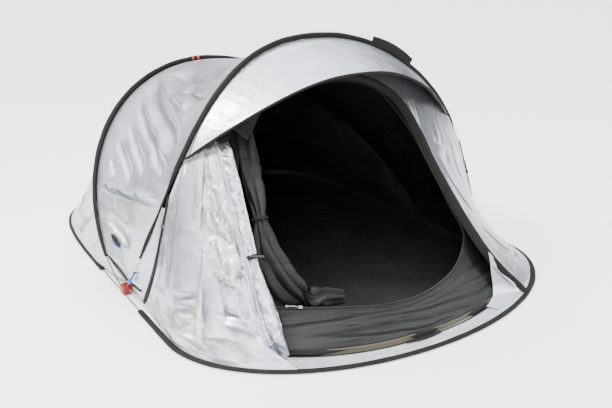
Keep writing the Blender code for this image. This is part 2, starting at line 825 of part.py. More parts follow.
def inner_roof(u, v):
    share = INNER_START + (1 - 2 * INNER_START) * u
    front = inner_front_arch.at(share)
    rear = inner_rear_arch.at(share)
    taut = max(math.sin(math.pi * u), TINY) ** 0.5
    return hang(between(front, rear, v, INNER_GAP, INNER_SEAM), front, rear, v, INNER_SAG * taut)


def inner_rear(u, v):
    share = INNER_START + (1 - 2 * INNER_START) * u
    top = inner_rear_arch.at(share)
    foot = floor_rear.at(share)
    foot.z = WALL_FOOT
    taut = max(math.sin(math.pi * u), TINY) ** 0.5
    return hang(between(top, foot, v, INNER_SEAM), top, foot, v, INNER_REAR_SAG * taut)


INNER_ZIP = 0.010
DOORWAY_STEPS = 36
INNER_ZIP_STEPS = (3, 27)


def inner_zip_point(place, offset):
    """A point of the doorway's zip, offset into the opening from the doorway's edge."""
    share, drop, _ = doorway_loop.at(place)
    here = inner_front_plain(share, drop)
    ahead = inner_front_plain(*doorway_loop.at(place + 0.01)[:2])
    behind = inner_front_plain(*doorway_loop.at(place - 0.01)[:2])
    middle = inner_front_plain(*DOORWAY_MIDDLE)
    along = (ahead - behind).normalized()
    inward = middle - here
    inward = (inward - along * inward.dot(along)).normalized()
    return here + inward * offset


def make_inner_tent():
    make_groundsheet()
    panel("inner_front_wall", inner_front, DOORWAY_STEPS, 3, "inner", INNER_FABRIC, wrap=True)
    panel("inner_roof", inner_roof, INNER_COLUMNS, 4, "inner", INNER_FABRIC)
    panel("inner_rear_wall", inner_rear, INNER_COLUMNS, 4, "inner", INNER_FABRIC)

    first, last = INNER_ZIP_STEPS

    def zip_strip(u, v):
        return inner_zip_point((first + (last - first) * u) / DOORWAY_STEPS, GAP * 1.5 + INNER_ZIP * v)

    panel("inner_zip", zip_strip, last - first, 1, "sleeve", FABRIC)


# The doors, tied back at the left in folds


def bundle_frame(line, share):
    """The centre and the two directions across a gathered door at a share of its line."""
    along = (line.at(share + 0.02) - line.at(share - 0.02)).normalized()
    across = Vector((0.78, -0.62, 0.0))
    across = (across - along * across.dot(along)).normalized()
    return line.at(share), across, across.cross(along).normalized(), along


def bundle(name, line, stations, folds, sides, slot):
    """Gathered cloth: sections along a line, each (share, half width, half depth, fold depth, twist)."""
    rings = []
    for share, width, depth, fold, twist in stations:
        centre, across, out, _ = bundle_frame(line, share)
        ring = []
        for side in range(sides):
            angle = 2 * math.pi * side / sides
            swell = 1 + fold * math.cos(folds * angle + twist)
            ring.append(centre + across * width * swell * math.cos(angle) + out * depth * swell * math.sin(angle))
        rings.append(ring)
    return loft(name, rings, slot, soft=True)


def strap(name, line, share, half_width, half_depth, width, slot):
    """A flat loop of webbing round a gathered door."""
    centre, across, out, along = bundle_frame(line, share)
    rings = []
    for step in range(20):
        angle = 2 * math.pi * step / 20
        rim = across * math.cos(angle) * half_width + out * math.sin(angle) * half_depth
        outward = rim.normalized() * FABRIC
        side = along * width / 2
        rings.append([centre + rim - side, centre + rim + side, centre + rim + side + outward,
                      centre + rim - side + outward])
    return loft(name, rings, slot, closed=True)


FLY_DOOR_LINE = Line([
    (-0.572, -0.425, 0.730),
    (-0.611, -0.660, 0.450),
    (-0.624, -0.750, 0.345),
    (-0.640, -0.967, 0.085),
])
FLY_DOOR_TIE = 0.600
FLY_DOOR_SECTIONS = [
    (0.00, 0.012, 0.006, 0.10, 0.0),
    (0.04, 0.026, 0.011, 0.16, 0.3),
    (0.20, 0.032, 0.014, 0.20, 0.6),
    (0.38, 0.030, 0.015, 0.22, 0.9),
    (0.53, 0.024, 0.014, 0.20, 1.1),
    (0.60, 0.017, 0.012, 0.12, 1.2),
    (0.66, 0.023, 0.014, 0.18, 1.3),
    (0.75, 0.034, 0.016, 0.24, 1.6),
    (0.88, 0.037, 0.017, 0.24, 1.9),
    (0.97, 0.033, 0.014, 0.20, 2.0),
    (1.00, 0.020, 0.007, 0.10, 2.0),
]
INNER_DOOR_LINE = smooth([
    (-0.440, -0.385, 0.735),
    (-0.490, -0.510, 0.590),
    (-0.525, -0.632, 0.455),
    (-0.545, -0.720, 0.340),
    (-0.525, -0.800, 0.240),
    (-0.470, -0.868, 0.172),
    (-0.380, -0.900, 0.158),
], 60)
INNER_DOOR_SECTIONS = [
    (0.00, 0.018, 0.010, 0.10, 0.0),
    (0.05, 0.040, 0.020, 0.16, 0.2),
    (0.22, 0.046, 0.024, 0.20, 0.6),
    (0.36, 0.036, 0.022, 0.20, 0.9),
    (0.44, 0.026, 0.020, 0.14, 1.1),
    (0.54, 0.042, 0.026, 0.20, 1.4),
    (0.66, 0.054, 0.032, 0.22, 1.8),
    (0.80, 0.060, 0.034, 0.22, 2.3),
    (0.92, 0.048, 0.028, 0.18, 2.8),
    (1.00, 0.022, 0.012, 0.10, 3.0),
]


INNER_DOOR_TIE = 0.44


def make_doors():
    bundle("fly_door", FLY_DOOR_LINE, FLY_DOOR_SECTIONS, 6, 24, "fly")
    bundle("inner_door", INNER_DOOR_LINE, INNER_DOOR_SECTIONS, 6, 24, "inner")
    strap("door_tie_strap", FLY_DOOR_LINE, FLY_DOOR_TIE, 0.0265, 0.0205, 0.018, "sleeve")
    strap("inner_tie_strap", INNER_DOOR_LINE, INNER_DOOR_TIE, 0.0350, 0.0290, 0.014, "sleeve")
    centre, across, out, along = bundle_frame(FLY_DOOR_LINE, FLY_DOOR_TIE)
    front = -out if out.y > 0 else out
    start = centre + front * 0.034
    loft("door_toggle", turned(frame_at(start, across - UP * 0.35, front), TOGGLE), "sleeve", soft=True)


# Small parts: junction blocks, zip sliders and pulls, straps, hems, rings and tabs

TOGGLE = [(-0.008, 0.0032), (-0.005, 0.0046), (0.048, 0.0046), (0.051, 0.0032)]
BLOCK_SIZE = (0.046, 0.050, 0.042)
BLOCK_SHIFT = 0.010
SOCKET_RADIUS = ROD_RADIUS + 0.0008
SOCKET_END_PLAY = 0.0012


def make_junctions():
    """The red blocks at the sides, where the base hoop's halves and both arches plug in."""
    w, d, h = BLOCK_SIZE[0] / 2, BLOCK_SIZE[1] / 2, BLOCK_SIZE[2]
    bevel = 0.006
    corner = [(w - bevel, d), (w, d - bevel), (w, -d + bevel), (w - bevel, -d),
              (-w + bevel, -d), (-w, -d + bevel), (-w, d - bevel), (-w + bevel, d)]
    rings = []
    for z, shrink in ((0.0, 0.90), (0.003, 1.0), (h - bevel, 1.0), (h, 0.84)):
        rings.append([Vector((BLOCK_SHIFT - JUNCTION_X + x * shrink, JUNCTION_Y + y * shrink, z)) for x, y in corner])
    left, right = both_sides("junction", rings, "red_plastic")
    for name in RODS:
        first, second = rod_points(name)[:2]
        place = frame_at(first, second - first, Vector((1, 0, 0)))
        hole = turned(place, [(-SOCKET_END_PLAY, SOCKET_RADIUS), (0.060, SOCKET_RADIUS)], 12)
        carve(left, "socket_" + name + "_left", hole)
        carve(right, "socket_" + name + "_right", [[mirrored(point) for point in ring] for ring in hole])


def slider_rings(place):
    """A zip slider: a small channel, open towards the pull. Local z is measured from the zip's face."""
    section = [(-0.0055, 0.0006), (0.0055, 0.0006), (0.0055, 0.0080), (0.0025, 0.0080),
               (0.0025, 0.0032), (-0.0025, 0.0032), (-0.0025, 0.0080), (-0.0055, 0.0080)]
    return [[place(x, y, z) for y, z in section] for x in (-0.008, 0.008)]


PULL = [(-0.0016, 0.0010), (0.0, 0.0016), (0.048, 0.0014), (0.050, 0.0034), (0.053, 0.0042), (0.064, 0.0042),
        (0.067, 0.0028)]
SIDE_SLIDER_REST = 0.128


def make_side_sliders():
    along = (ZIP_KNEE - ZIP_HEAD).normalized()
    face = (ZIP_FACING - along * ZIP_FACING.dot(along)).normalized()
    origin = ZIP_HEAD + along * SIDE_SLIDER_REST + face * ZIP_THICKNESS / 2
    both_sides("zip_slider", slider_rings(frame_at(origin, along, face)), "metal")
    pull = turned(frame_at(origin + face * 0.0056, along, face), PULL)
    both_sides("zip_pull", pull, "sleeve", soft=True)


def make_skirt_slider():
    """The door zip's slider, parked at the left end of the skirt, and its cord."""
    start = skirt_inner(SKIRT_INNER[0] + 0.004, GAP + SKIRT_ZIP / 2)
    ahead = skirt_inner(SKIRT_INNER[0] + 0.012, GAP + SKIRT_ZIP / 2)
    place = frame_at(start.lerp(ahead, 0.5) + UP * ZIP_THICKNESS / 2, ahead - start, UP)
    loft("door_zip_slider", slider_rings(place), "metal")
    cord = smooth([place(-0.0085, 0.0, 0.0054), place(-0.017, -0.004, 0.008), place(-0.010, -0.030, 0.017),
                   place(0.016, -0.058, 0.025), place(0.052, -0.092, 0.022)], 40)
    rod("door_pull_cord", cord.part(0.0, 1.0, 12), 0.0020, "cord")


def make_inner_slider():
    """The inner door's slider, parked low at the left of the doorway, and its cord loop."""
    first, last = 23 / DOORWAY_STEPS, 24 / DOORWAY_STEPS
    lower = inner_zip_point(last, GAP * 1.5 + INNER_ZIP / 2)
    upper = inner_zip_point(first, GAP * 1.5 + INNER_ZIP / 2)
    side = (inner_zip_point(last, 0.020) - lower).normalized()
    along = (upper - lower).normalized()
    face = along.cross(side).normalized()
    if face.y > 0:
        face = -face
    place = frame_at(upper.lerp(lower, 0.35) + face * FABRIC / 2, along, face)
    loft("inner_zip_slider", slider_rings(place), "metal")
    cord = smooth([place(-0.0085, 0.0, 0.0054), place(-0.020, 0.0, 0.012), place(-0.036, 0.0, 0.013),
                   place(-0.056, 0.0, 0.010)], 40)
    rod("inner_pull_cord", cord.part(0.0, 1.0, 9), 0.0018, "cord")


def facets(surface, columns, rows):
    """The same surface as a panel's flat facets."""
    def at(u, v):
        a = min(int(u * columns), columns - 1)
        b = min(int(v * rows), rows - 1)
        s = u * columns - a
        t = v * rows - b
        low = surface(a / columns, b / rows).lerp(surface((a + 1) / columns, b / rows), s)
        high = surface(a / columns, (b + 1) / rows).lerp(surface((a + 1) / columns, (b + 1) / rows), s)
        return low.lerp(high, t)
    return at


roof_facets = facets(roof, ROOF_COLUMNS, ROOF_ROWS)
gusset_facets = facets(gusset, ZIP_STEPS - 1, 2)


def facing_of(surface, u, v, reach=0.01):
    """Which way a side surface of the left half faces."""
    across = surface(u + reach, v) - surface(u - reach, v)
    down = surface(u, v + reach) - surface(u, v - reach)
    facing = across.cross(down).normalized()
    return facing if facing.x < 0 else -facing


def ribbon_on(surface, start, end, count, width, thickness, lift):
    """Rings of a flat ribbon laid on a surface, between two of its (u, v) places."""
    places = [(start[0] + (end[0] - start[0]) * i / (count - 1), start[1] + (end[1] - start[1]) * i / (count - 1))
              for i in range(count)]
    along = (surface(*end) - surface(*start)).normalized()
    rings = []
    for u, v in places:
        facing = facing_of(surface, u, v)
        side = along.cross(facing).normalized() * width / 2
        foot = surface(u, v) + facing * lift
        top = foot + facing * thickness
        rings.append([foot - side, foot + side, top + side, top - side])
    return rings


def make_hems():
    """The bound hem under each side of the roof, and the webbing that goes on from it."""
    places = [0.040] + [row / ROOF_ROWS for row in range(1, ROOF_ROWS)] + [0.925]
    edge = []
    for v in places:
        down = (roof_facets(0.0, v) - roof_facets(1 / ROOF_COLUMNS, v)).normalized()
        edge.append(roof_facets(0.0, v) + down * 0.0080)
    rod("hem_binding_left", edge, 0.0038, "sleeve")
    rod("hem_binding_right", [mirrored(point) for point in edge], 0.0038, "sleeve")
    both_sides("hem_webbing", ribbon_on(gusset_facets, (0.030, 0.16), (0.090, 0.66), 5, 0.010, 0.002, 0.0032), "sleeve")
    both_sides("side_tab", ribbon_on(roof_facets, (0.0439, 0.766), (0.0311, 0.600), 5, 0.012, 0.002, 0.0035),
               "blue_plastic")
    low = Vector((-0.930, -0.1285, 0.026))
    end = gusset_facets(0.02, 0.94) + Vector((-0.008, 0.0, -0.004))
    for side, change in (("left", Vector), ("right", mirrored)):
        rod("corner_elastic_" + side, [change(low.lerp(end, i / 3)) for i in range(4)], 0.0015, "cord")


RING_PLATE = 0.0040
RING_STAND = 0.0088
RING_REACH = 0.0585


def make_pull_rings():
    """The blue rings by the foot of the arch: each turns on a stud through its upper end."""
    stud = gusset_facets(0.200, 0.060)
    out = Vector((-0.95, 0.0, 0.31)).normalized()
    foot = gusset_facets(0.010, 0.170)
    down = foot - stud
    down = (down - out * down.dot(out)).normalized()
    place = frame_at(stud + out * RING_STAND, down, out)
    outline = []
    for turn in range(-8, 9):
        angle = math.pi * 0.89 * turn / 8
        outline.append((RING_REACH + 0.0140 * math.cos(angle), 0.0140 * math.sin(angle)))
    outline += [(0.004, 0.0045), (-0.004, 0.0030), (-0.004, -0.0030), (0.004, -0.0045)]
    rings = [[place(x, y, z) for x, y in outline] for z in (0.0, RING_PLATE)]
    plates = both_sides("pull_ring", rings, "blue_plastic")
    for plate, change, side in zip(plates, (Vector, mirrored), ("left", "right")):
        for x, radius, hole in ((0.0, 0.0022, "eye"), (RING_REACH, 0.0050, "ring")):
            turns = [2 * math.pi * step / 12 for step in range(12)]
            ring = [[change(place(x + radius * math.cos(a), radius * math.sin(a), z)) for a in turns]
                    for z in (-0.003, RING_PLATE + 0.003)]
            carve(plate, hole + "_" + side, ring)
    profile = [(-0.0060, 0.0050), (-0.0045, 0.0050), (-0.0040, 0.0017), (RING_PLATE + 0.0006, 0.0017),
               (RING_PLATE + 0.0008, 0.0050), (RING_PLATE + 0.0040, 0.0042)]
    across = place(0, 0, 1) - place(0, 0, 0)
    both_sides("ring_stud", turned(frame_at(stud + out * RING_STAND, across, down), profile, 12), "sleeve")


HANDLE = (0.5955, 0.6650)
HANDLE_WIDTH = 0.034
HANDLE_THICKNESS = 0.004
FOLD_MARKS = (0.4855, 0.4962)
FOLD_MARK_WIDTH = 0.014
PEG_LOOP = (0.452, 0.508)


def make_straps():
    """The carrying handle on the front arch, the fold marks on the rear arch, and a peg loop at the front."""
    def handle(u, v):
        share = HANDLE[0] + (HANDLE[1] - HANDLE[0]) * u
        axis = front_arch.at(share)
        along = (front_arch.at(share + 0.01) - front_arch.at(share - 0.01)).normalized()
        out = axis - HEART
        out = (out - along * out.dot(along)).normalized()
        side = along.cross(out)
        bow = ARCH_SLEEVE_RADIUS + 0.0045 + 0.012 * math.sin(math.pi * u) ** 0.7
        return axis + out * bow + side * HANDLE_WIDTH * (v - 0.5)

    panel("carry_handle", handle, 8, 2, "sleeve", HANDLE_THICKNESS)
    span = (1 - 2 * REAR_SLEEVE_START) / 28
    for number, share in enumerate(FOLD_MARKS, 1):
        step = int((share - REAR_SLEEVE_START) / span)
        start = rear_arch.at(REAR_SLEEVE_START + span * step)
        end = rear_arch.at(REAR_SLEEVE_START + span * (step + 1))
        axis = start.lerp(end, (share - REAR_SLEEVE_START) / span - step)
        along = (end - start).normalized()
        out = axis - HEART
        out = (out - along * out.dot(along)).normalized()
        side = along.cross(out)

        def mark(u, v):
            angle = math.radians(150) * (u - 0.5)
            rim = (out * math.cos(angle) + side * math.sin(angle)) * (ARCH_SLEEVE_RADIUS + 0.0009)
            return axis + rim + along * FOLD_MARK_WIDTH * (v - 0.5)

        panel("fold_mark_" + str(number), mark, 8, 1, "red_plastic", 0.0008)

    def loop(u, v):
        reach = 0.004 + 0.022 * v * (1 - 0.8 * abs(u - 0.5))
        return skirt_inner(PEG_LOOP[0] + (PEG_LOOP[1] - PEG_LOOP[0]) * u, reach) + UP * 0.0050

    panel("peg_loop_front", loop, 6, 2, "sleeve", 0.0020)


make_junctions()
make_inner_tent()
make_doors()
make_side_sliders()
make_skirt_slider()
make_inner_slider()
make_hems()
make_pull_rings()
make_straps()
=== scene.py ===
"""The looks of a two-hoop pop-up camping tent: silver flysheet, dark inner tent, sleeves, zips and cords."""
import json
import math

import bpy
import numpy as np
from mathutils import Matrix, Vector


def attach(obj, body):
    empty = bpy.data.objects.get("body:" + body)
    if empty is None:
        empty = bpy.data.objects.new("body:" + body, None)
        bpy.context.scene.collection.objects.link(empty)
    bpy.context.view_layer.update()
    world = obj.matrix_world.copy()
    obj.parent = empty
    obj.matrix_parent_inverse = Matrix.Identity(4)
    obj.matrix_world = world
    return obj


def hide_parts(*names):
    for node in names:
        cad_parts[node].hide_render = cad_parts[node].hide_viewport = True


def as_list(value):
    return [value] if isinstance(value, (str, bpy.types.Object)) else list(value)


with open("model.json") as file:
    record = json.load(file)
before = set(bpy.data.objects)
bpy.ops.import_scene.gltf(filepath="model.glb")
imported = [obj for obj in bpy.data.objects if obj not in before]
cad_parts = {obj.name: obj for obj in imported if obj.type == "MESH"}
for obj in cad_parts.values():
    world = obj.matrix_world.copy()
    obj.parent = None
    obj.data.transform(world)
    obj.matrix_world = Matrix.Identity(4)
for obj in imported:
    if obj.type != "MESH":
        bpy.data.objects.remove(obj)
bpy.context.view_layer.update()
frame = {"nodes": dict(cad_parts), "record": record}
nodes = frame["nodes"]
RECORD_SLOTS = {m["slot"] for m in frame["record"]["materials"]}
OTHER_SLOTS = {"fly_flat": "fly", "inner_dark": "inner", "red_tape": "red_plastic"}

# The frame's lines, in metres: +X right seen from the front, the door faces -Y, +Z up. The outlines on the ground are
# half_outlines' arguments, the arches are arch_line's
HOOP = (0.95, -0.628, 0.597, 1.853, 2.035, 6.437)
FLOOR = (0.78, -0.628, 0.507, 1.753, 2.05, 5.5)
HOOP_Z = 0.0065
JUNCTION_Y = -0.101
FRONT_ARCH = (-11.7, 2.226, 0.9615, 1.429, -39.6, 0.794)
REAR_ARCH = (10.6, 1.895, 0.9623, 1.4018, 53.2, 0.002)
INNER_SCALE = np.array([0.868, 0.93, 0.935])
HEART = np.array([0.0, 0.25, 0.25])
BELOW = np.array([0.0, -0.6, -2.0])
UP = np.array([0.0, 0.0, 1.0])
RIGHT = np.array([1.0, 0.0, 0.0])
TINY = 1e-9

ROD_RADIUS = 0.0028
SLEEVE_RADIUS = 0.0133
BASE_HALF_HEIGHT = 0.0064
TUCK = 0.006
LEAST_SLANT = 0.35
FABRIC, INNER_FABRIC, DOOR_FABRIC, TAPE, THICK_TAPE, STRAP = 0.0012, 0.0009, 0.0008, 0.0014, 0.0016, 0.0034
# How deep each panel sags, how far the panels beside the doorway stop from its edge, and half of a side zip's gap
ROOF_SAG, REAR_SAG, INNER_FRONT_SAG, INNER_ROOF_SAG, INNER_REAR_SAG = 0.05, 0.035, 0.06, 0.06, 0.045
BAND_LAP, ZIP_GAP = 0.004, 0.001


# Numbers and lines


def unit(v):
    return v / np.maximum(np.linalg.norm(v, axis=-1, keepdims=True), TINY)


def dot(a, b):
    return np.sum(a * b, axis=-1, keepdims=True)


def col(value):
    return np.asarray(value, float)[..., None]


def lerp(a, b, t):
    return a + (b - a) * col(t)


def ease(t):
    t = np.clip(t, 0.0, 1.0)
    return t * t * (3 - 2 * t)


def span(start, end, t):
    return start + (end - start) * t


def arc(t):
    """Nought at both ends, one in the middle."""
    return np.sin(np.pi * t)


def square_to(way, along):
    """What is left of a direction at right angles to another."""
    return unit(way - along * dot(way, along))


def pair_of(place):
    return place[..., 0], place[..., 1]


def signed_power(value, exponent):
    return np.sign(value) * np.maximum(np.abs(value), TINY) ** exponent


def mirrored(points):
    return np.asarray(points) * np.array([-1.0, 1.0, 1.0])


def one(value):
    """One share, in the form in which lines and surfaces take them."""
    return np.full(1, value)


SIDES = (("left", np.array), ("right", mirrored))


class Line:
    """A curve in space, read by the share of its length from 0 to 1."""

    def __init__(self, points):
        self.points = np.asarray(points, float)
        steps = np.linalg.norm(np.diff(self.points, axis=0), axis=1)
        self.lengths = np.concatenate([[0.0], np.cumsum(steps)])
        self.length = self.lengths[-1]

    def at(self, share):
        place = np.clip(share, 0, 1) * self.length
        return np.stack([np.interp(place, self.lengths, self.points[:, k]) for k in range(3)], -1)

    def along(self, share, reach=0.002):
        return unit(self.at(share + reach) - self.at(share - reach))


def smooth(points, count=160):
    """A smooth line through a few points (Catmull-Rom)."""
    rows = np.asarray(points, float)
    rows = np.vstack([2 * rows[0] - rows[1], rows, 2 * rows[-1] - rows[-2]])
    spans = len(rows) - 3
    place = np.linspace(0, spans, count)
    first = np.minimum(place.astype(int), spans - 1)
    t = (place - first)[:, None]
    a, b, c, d = (rows[first + k] for k in range(4))
    bend = b * 2 + (c - a) * t + (a * 2 - b * 5 + c * 4 - d) * t ** 2 + (b * 3 - a - c * 3 + d) * t ** 3
    return Line(bend * 0.5)


def arch_line(start, power, half_width, rise, lean, push):
    """An arch from the left junction to the right one: a superellipse from a start angle, leaning by so many degrees
    and pushed on towards its top."""
    first = math.radians(start)
    angle = math.pi + first - (math.pi + 2 * first) * np.linspace(0, 1, 3001)
    foot = math.copysign(abs(math.sin(first)) ** (2 / power), first)
    height = (signed_power(np.sin(angle), 2 / power) + foot) / (1 + foot)
    x = half_width * signed_power(np.cos(angle), 2 / power)
    y = JUNCTION_Y + rise * height * math.sin(math.radians(lean)) + push * height ** 2
    z = HOOP_Z + rise * height * math.cos(math.radians(lean))
    return Line(np.stack([x, y, z], -1))


def half_outlines(half_width, widest_y, front_reach, rear_reach, front_power, rear_power):
    """The front and the rear half of an outline in plan, each from the left side to the right one."""
    angle = np.linspace(0, 2 * math.pi, 20001)[:-1]
    behind = np.sin(angle) > 0
    power = np.where(behind, rear_power, front_power)
    x = half_width * signed_power(np.cos(angle), 2 / power)
    y = widest_y + np.where(behind, rear_reach, front_reach) * signed_power(np.sin(angle), 2 / power)
    ring = np.stack([x, y, np.full(angle.shape, HOOP_Z)], -1)
    rear = ring[:, 1] > JUNCTION_Y
    first, last = int(np.argmax(rear)), len(rear) - int(np.argmax(rear[::-1]))
    side = half_width * (1 - ((JUNCTION_Y - widest_y) / rear_reach) ** rear_power) ** (1 / rear_power)
    left, right = [[-side, JUNCTION_Y, HOOP_Z]], [[side, JUNCTION_Y, HOOP_Z]]
    return (Line(np.concatenate([left, ring[last:], ring[:first], right])),
            Line(np.concatenate([right, ring[first:last], left])[::-1]))


front_arch = arch_line(*FRONT_ARCH)
rear_arch = arch_line(*REAR_ARCH)
hoop_front, hoop_rear = half_outlines(*HOOP)
floor_front, floor_rear = half_outlines(*FLOOR)


def inner_line(arch):
    """The inner tent's edge under an arch: the same line, drawn in towards the junctions' middle."""
    about = np.array([0.0, JUNCTION_Y, 0.0])
    return Line(about + (arch.points - about) * INNER_SCALE)


inner_front_arch = inner_line(front_arch)
inner_rear_arch = inner_line(rear_arch)


# The flysheet's surfaces, each read by u and v from 0 to 1


def way_clear(line, share, towards, radius):
    """The place beside a line, so far from it, where cloth that comes from another place meets it."""
    start = line.at(share)
    way = unit(towards - start)
    slant = np.maximum(np.linalg.norm(np.cross(way, line.along(share)), axis=-1, keepdims=True), LEAST_SLANT)
    return start + way * col(radius) / slant


def hang(point, start, end, share, depth, tucked=0.0):
    """Sag between two edges. Tucked is how far the fabric's edges go towards the inner side of their sleeves."""
    inside = unit(HEART - (start + end) / 2)
    return point + inside * col(depth * arc(share) + tucked)


def taut(u, power=0.35):
    return np.maximum(arc(u), TINY) ** power


def roof(u, v):
    first = 0.027 + 0.033 * v
    share = span(first, 1 - first, u)
    front, rear = front_arch.at(share), rear_arch.at(share)
    start = way_clear(front_arch, share, rear, TUCK)
    end = way_clear(rear_arch, share, front, TUCK)
    tucked = (0.01 * (1 - v) ** 12 + 0.017 * v ** 14) * taut(u)
    return hang(lerp(start, end, v), front, rear, v, ROOF_SAG * taut(u), tucked)


REAR_START, REAR_CORNER = 0.063, np.array([-0.931, -0.072, 0.052])


def rear_wall(u, v):
    share = span(REAR_START, 1 - REAR_START, u)
    top, foot = rear_arch.at(share), hoop_rear.at(share)
    corner = REAR_CORNER * RIGHT * np.where(u < 0.5, 1, -1)[..., None] + REAR_CORNER * (1 - RIGHT)
    ending = np.maximum(1 - 28 * np.minimum(u, 1 - u), 0.0)
    start = way_clear(rear_arch, share, foot, TUCK + 0.006 * ending)
    end = lerp(way_clear(hoop_rear, share, top, TUCK), corner, ending)
    return hang(lerp(start, end, v), top, foot, v, REAR_SAG * taut(u), 0.009 * (1 - v) ** 12 * taut(u))


def front_plain(share, drop):
    return lerp(front_arch.at(share), hoop_front.at(share), drop)


def facing_at(share, drop):
    """The way the cloth between the front arch and the ground faces."""
    across = front_plain(share + 0.01, drop) - front_plain(share - 0.01, drop)
    down = front_plain(share, np.minimum(drop + 0.02, 1)) - front_plain(share, np.maximum(drop - 0.02, 0))
    facing = unit(np.cross(down, across))
    return facing * np.where(facing[..., 1:2] < 0, 1, -1)


ZIP_HEAD = np.array([-0.809, -0.384, 0.529])
ZIP_KNEE = np.array([-0.893, -0.406, 0.262])
ZIP_FOOT = np.array([-0.921, -0.296, 0.03])
ZIP_FACING = unit(np.array([-0.9, -0.3, 0.31]))
zip_lead = ZIP_KNEE + unit(ZIP_KNEE - ZIP_HEAD) * 0.11
side_zip = Line([ZIP_HEAD] + [
    (ZIP_KNEE * (1 - t) + zip_lead * t) * (1 - t) + (zip_lead * (1 - t) + ZIP_FOOT * t) * t
    for t in np.linspace(0, 1, 17)])


def zip_side(share):
    """The way across the left side zip, towards its front."""
    side = unit(np.cross(ZIP_FACING, side_zip.along(share, 0.01)))
    return side * np.where(side[..., 1:2] > 0, -1, 1)


def zip_edge(share, offset):
    return side_zip.at(share) + zip_side(share) * offset


def gusset(u, v):
    target = zip_edge(1.0 - 0.9 * u, -ZIP_GAP)
    return lerp(way_clear(front_arch, 0.027 + 0.135 * u, target, TUCK), target, v)


def base_edge(share, lift=0.004):
    """Where cloth meets the front half of the ring on the ground, on its inner side."""
    inward = unit(np.cross(UP, hoop_front.along(share)))
    return hoop_front.at(share) + inward * TUCK + UP * lift


def fit_patch(left, right, bottom, top, u, v, sag):
    """A Coons patch between four edge curves, whose ends are pulled together at the corners."""
    ends = first, last = one(0.0), one(1.0)
    low = bottom(u) + (left(first) - bottom(first)) * col((1 - u) ** 4) + (right(first) - bottom(last)) * col(u ** 4)
    high = top(u) + (left(last) - top(first)) * col(1 - u) + (right(last) - top(last)) * col(u)
    corners = lerp(*(lerp(left(end), right(end), u) for end in ends), v)
    return lerp(left(v), right(v), u) + lerp(low, high, v) - corners + sag * col(arc(u) * arc(v))


# Shares of the front arch's and the front outline's length, where the front panels start and end, and how far the
# middle of each panel stands from the patch between its edges
DOOR_LEFT_TOP, DOOR_RIGHT_TOP = 0.31, 0.655
SEAM_TOP, SEAM_BASE, BASE_START, RIGHT_BASE, ZIP_TOP = 0.306, 0.318, 0.06, 0.686, 0.184
LEFT_BULGE, RIGHT_BULGE = np.array([0.04, 0.035, -0.018]), np.array([-0.052, 0.05, -0.025])
SEAM_HEAD, SEAM_KNEE = np.array([-0.612, -0.408, 0.752]), np.array([-0.69, -0.962, 0.075])
left_seam = Line([base_edge(SEAM_BASE), SEAM_KNEE, SEAM_HEAD, front_arch.at(SEAM_TOP)])


def front_left(u, v):
    return fit_patch(
        lambda t: zip_edge(1 - t, ZIP_GAP),
        lambda t: left_seam.at(t * 0.985),
        lambda t: base_edge(span(BASE_START, SEAM_BASE, t)),
        lambda t: way_clear(front_arch, span(ZIP_TOP, SEAM_TOP, t), hoop_front.at(0.25), TUCK),
        u, v, LEFT_BULGE)


DOOR_EDGE = [(0.322, 0.18), (0.38, 0.155), (0.46, 0.15), (0.53, 0.15), (0.583, 0.182), (0.605, 0.244),
             (0.611, 0.348), (0.61, 0.449), (0.614, 0.569), (0.621, 0.682), (0.632, 0.794), (0.65, 0.885),
             (0.678, 0.982)]
door_shares = smooth([(a, b, 0.0) for a, b in DOOR_EDGE], 240)
BAND_START = 0.012
BAND_STEPS, LINTEL_STEPS, RISER_STEPS = 30, 13, 3


def door_edge(place, offset=0.0, lift=0.0):
    """The doorway's edge in the flysheet, with an offset within the cloth and a lift above it."""
    here, after, before = (pair_of(door_shares.at(place + d)) for d in (0, 0.01, -0.01))
    facing = facing_at(*here)
    side = unit(np.cross(front_plain(*after) - front_plain(*before), facing))
    side = side * np.where((side[..., 2:] < -0.2) | (side[..., :1] < -0.5), -1, 1)
    return front_plain(*here) + side * col(offset) + facing * col(lift)


def band_place(step):
    return span(BAND_START, 1 - BAND_START, step / BAND_STEPS)


def lintel(u, v):
    foot = door_edge(band_place(LINTEL_STEPS * u), BAND_LAP)
    share = DOOR_LEFT_TOP + 0.001 + (DOOR_RIGHT_TOP + 0.006 - DOOR_LEFT_TOP) * u
    return lerp(way_clear(front_arch, share, foot, TUCK), foot, v)


def right_door_side(t):
    """The right panel's edge: up along the band as far as the lintel, then up the lintel's end to the arch."""
    band_steps = BAND_STEPS - LINTEL_STEPS
    step = t * (band_steps + RISER_STEPS)
    last = LINTEL_STEPS + 0.06
    low = door_edge(band_place(BAND_STEPS - np.minimum(step, band_steps) * (BAND_STEPS - last) / band_steps), BAND_LAP)
    corner = door_edge(band_place(one(last)), BAND_LAP)
    top = way_clear(front_arch, one(DOOR_RIGHT_TOP), corner, TUCK)
    high = lerp(corner, top, np.clip((step - band_steps) / RISER_STEPS, 0, 1))
    return np.where(col(step) <= band_steps, low, high)


def front_right(u, v):
    return fit_patch(
        right_door_side,
        lambda t: mirrored(zip_edge(1 - t, ZIP_GAP)),
        lambda t: base_edge(span(RIGHT_BASE, 1 - BASE_START, t)),
        lambda t: inside_arch(span(DOOR_RIGHT_TOP, 1 - ZIP_TOP, t), t),
        u, v, RIGHT_BULGE)


def inside_arch(share, t):
    """The right panel's top edge: high up it is sewn to the sleeve's inner side, lower down to its front."""
    axis = front_arch.at(share)
    inner = axis + np.array([-0.019, -0.01, -0.004])
    return lerp(inner, way_clear(front_arch, share, hoop_front.at(0.75), TUCK), ease((t - 0.82) / 0.18))


HOOD_ROOT, HOOD_START, HOOD_OUT, HOOD_TRIM = 0.229, 0.233, (-0.216, -0.376, -0.119), 0.014


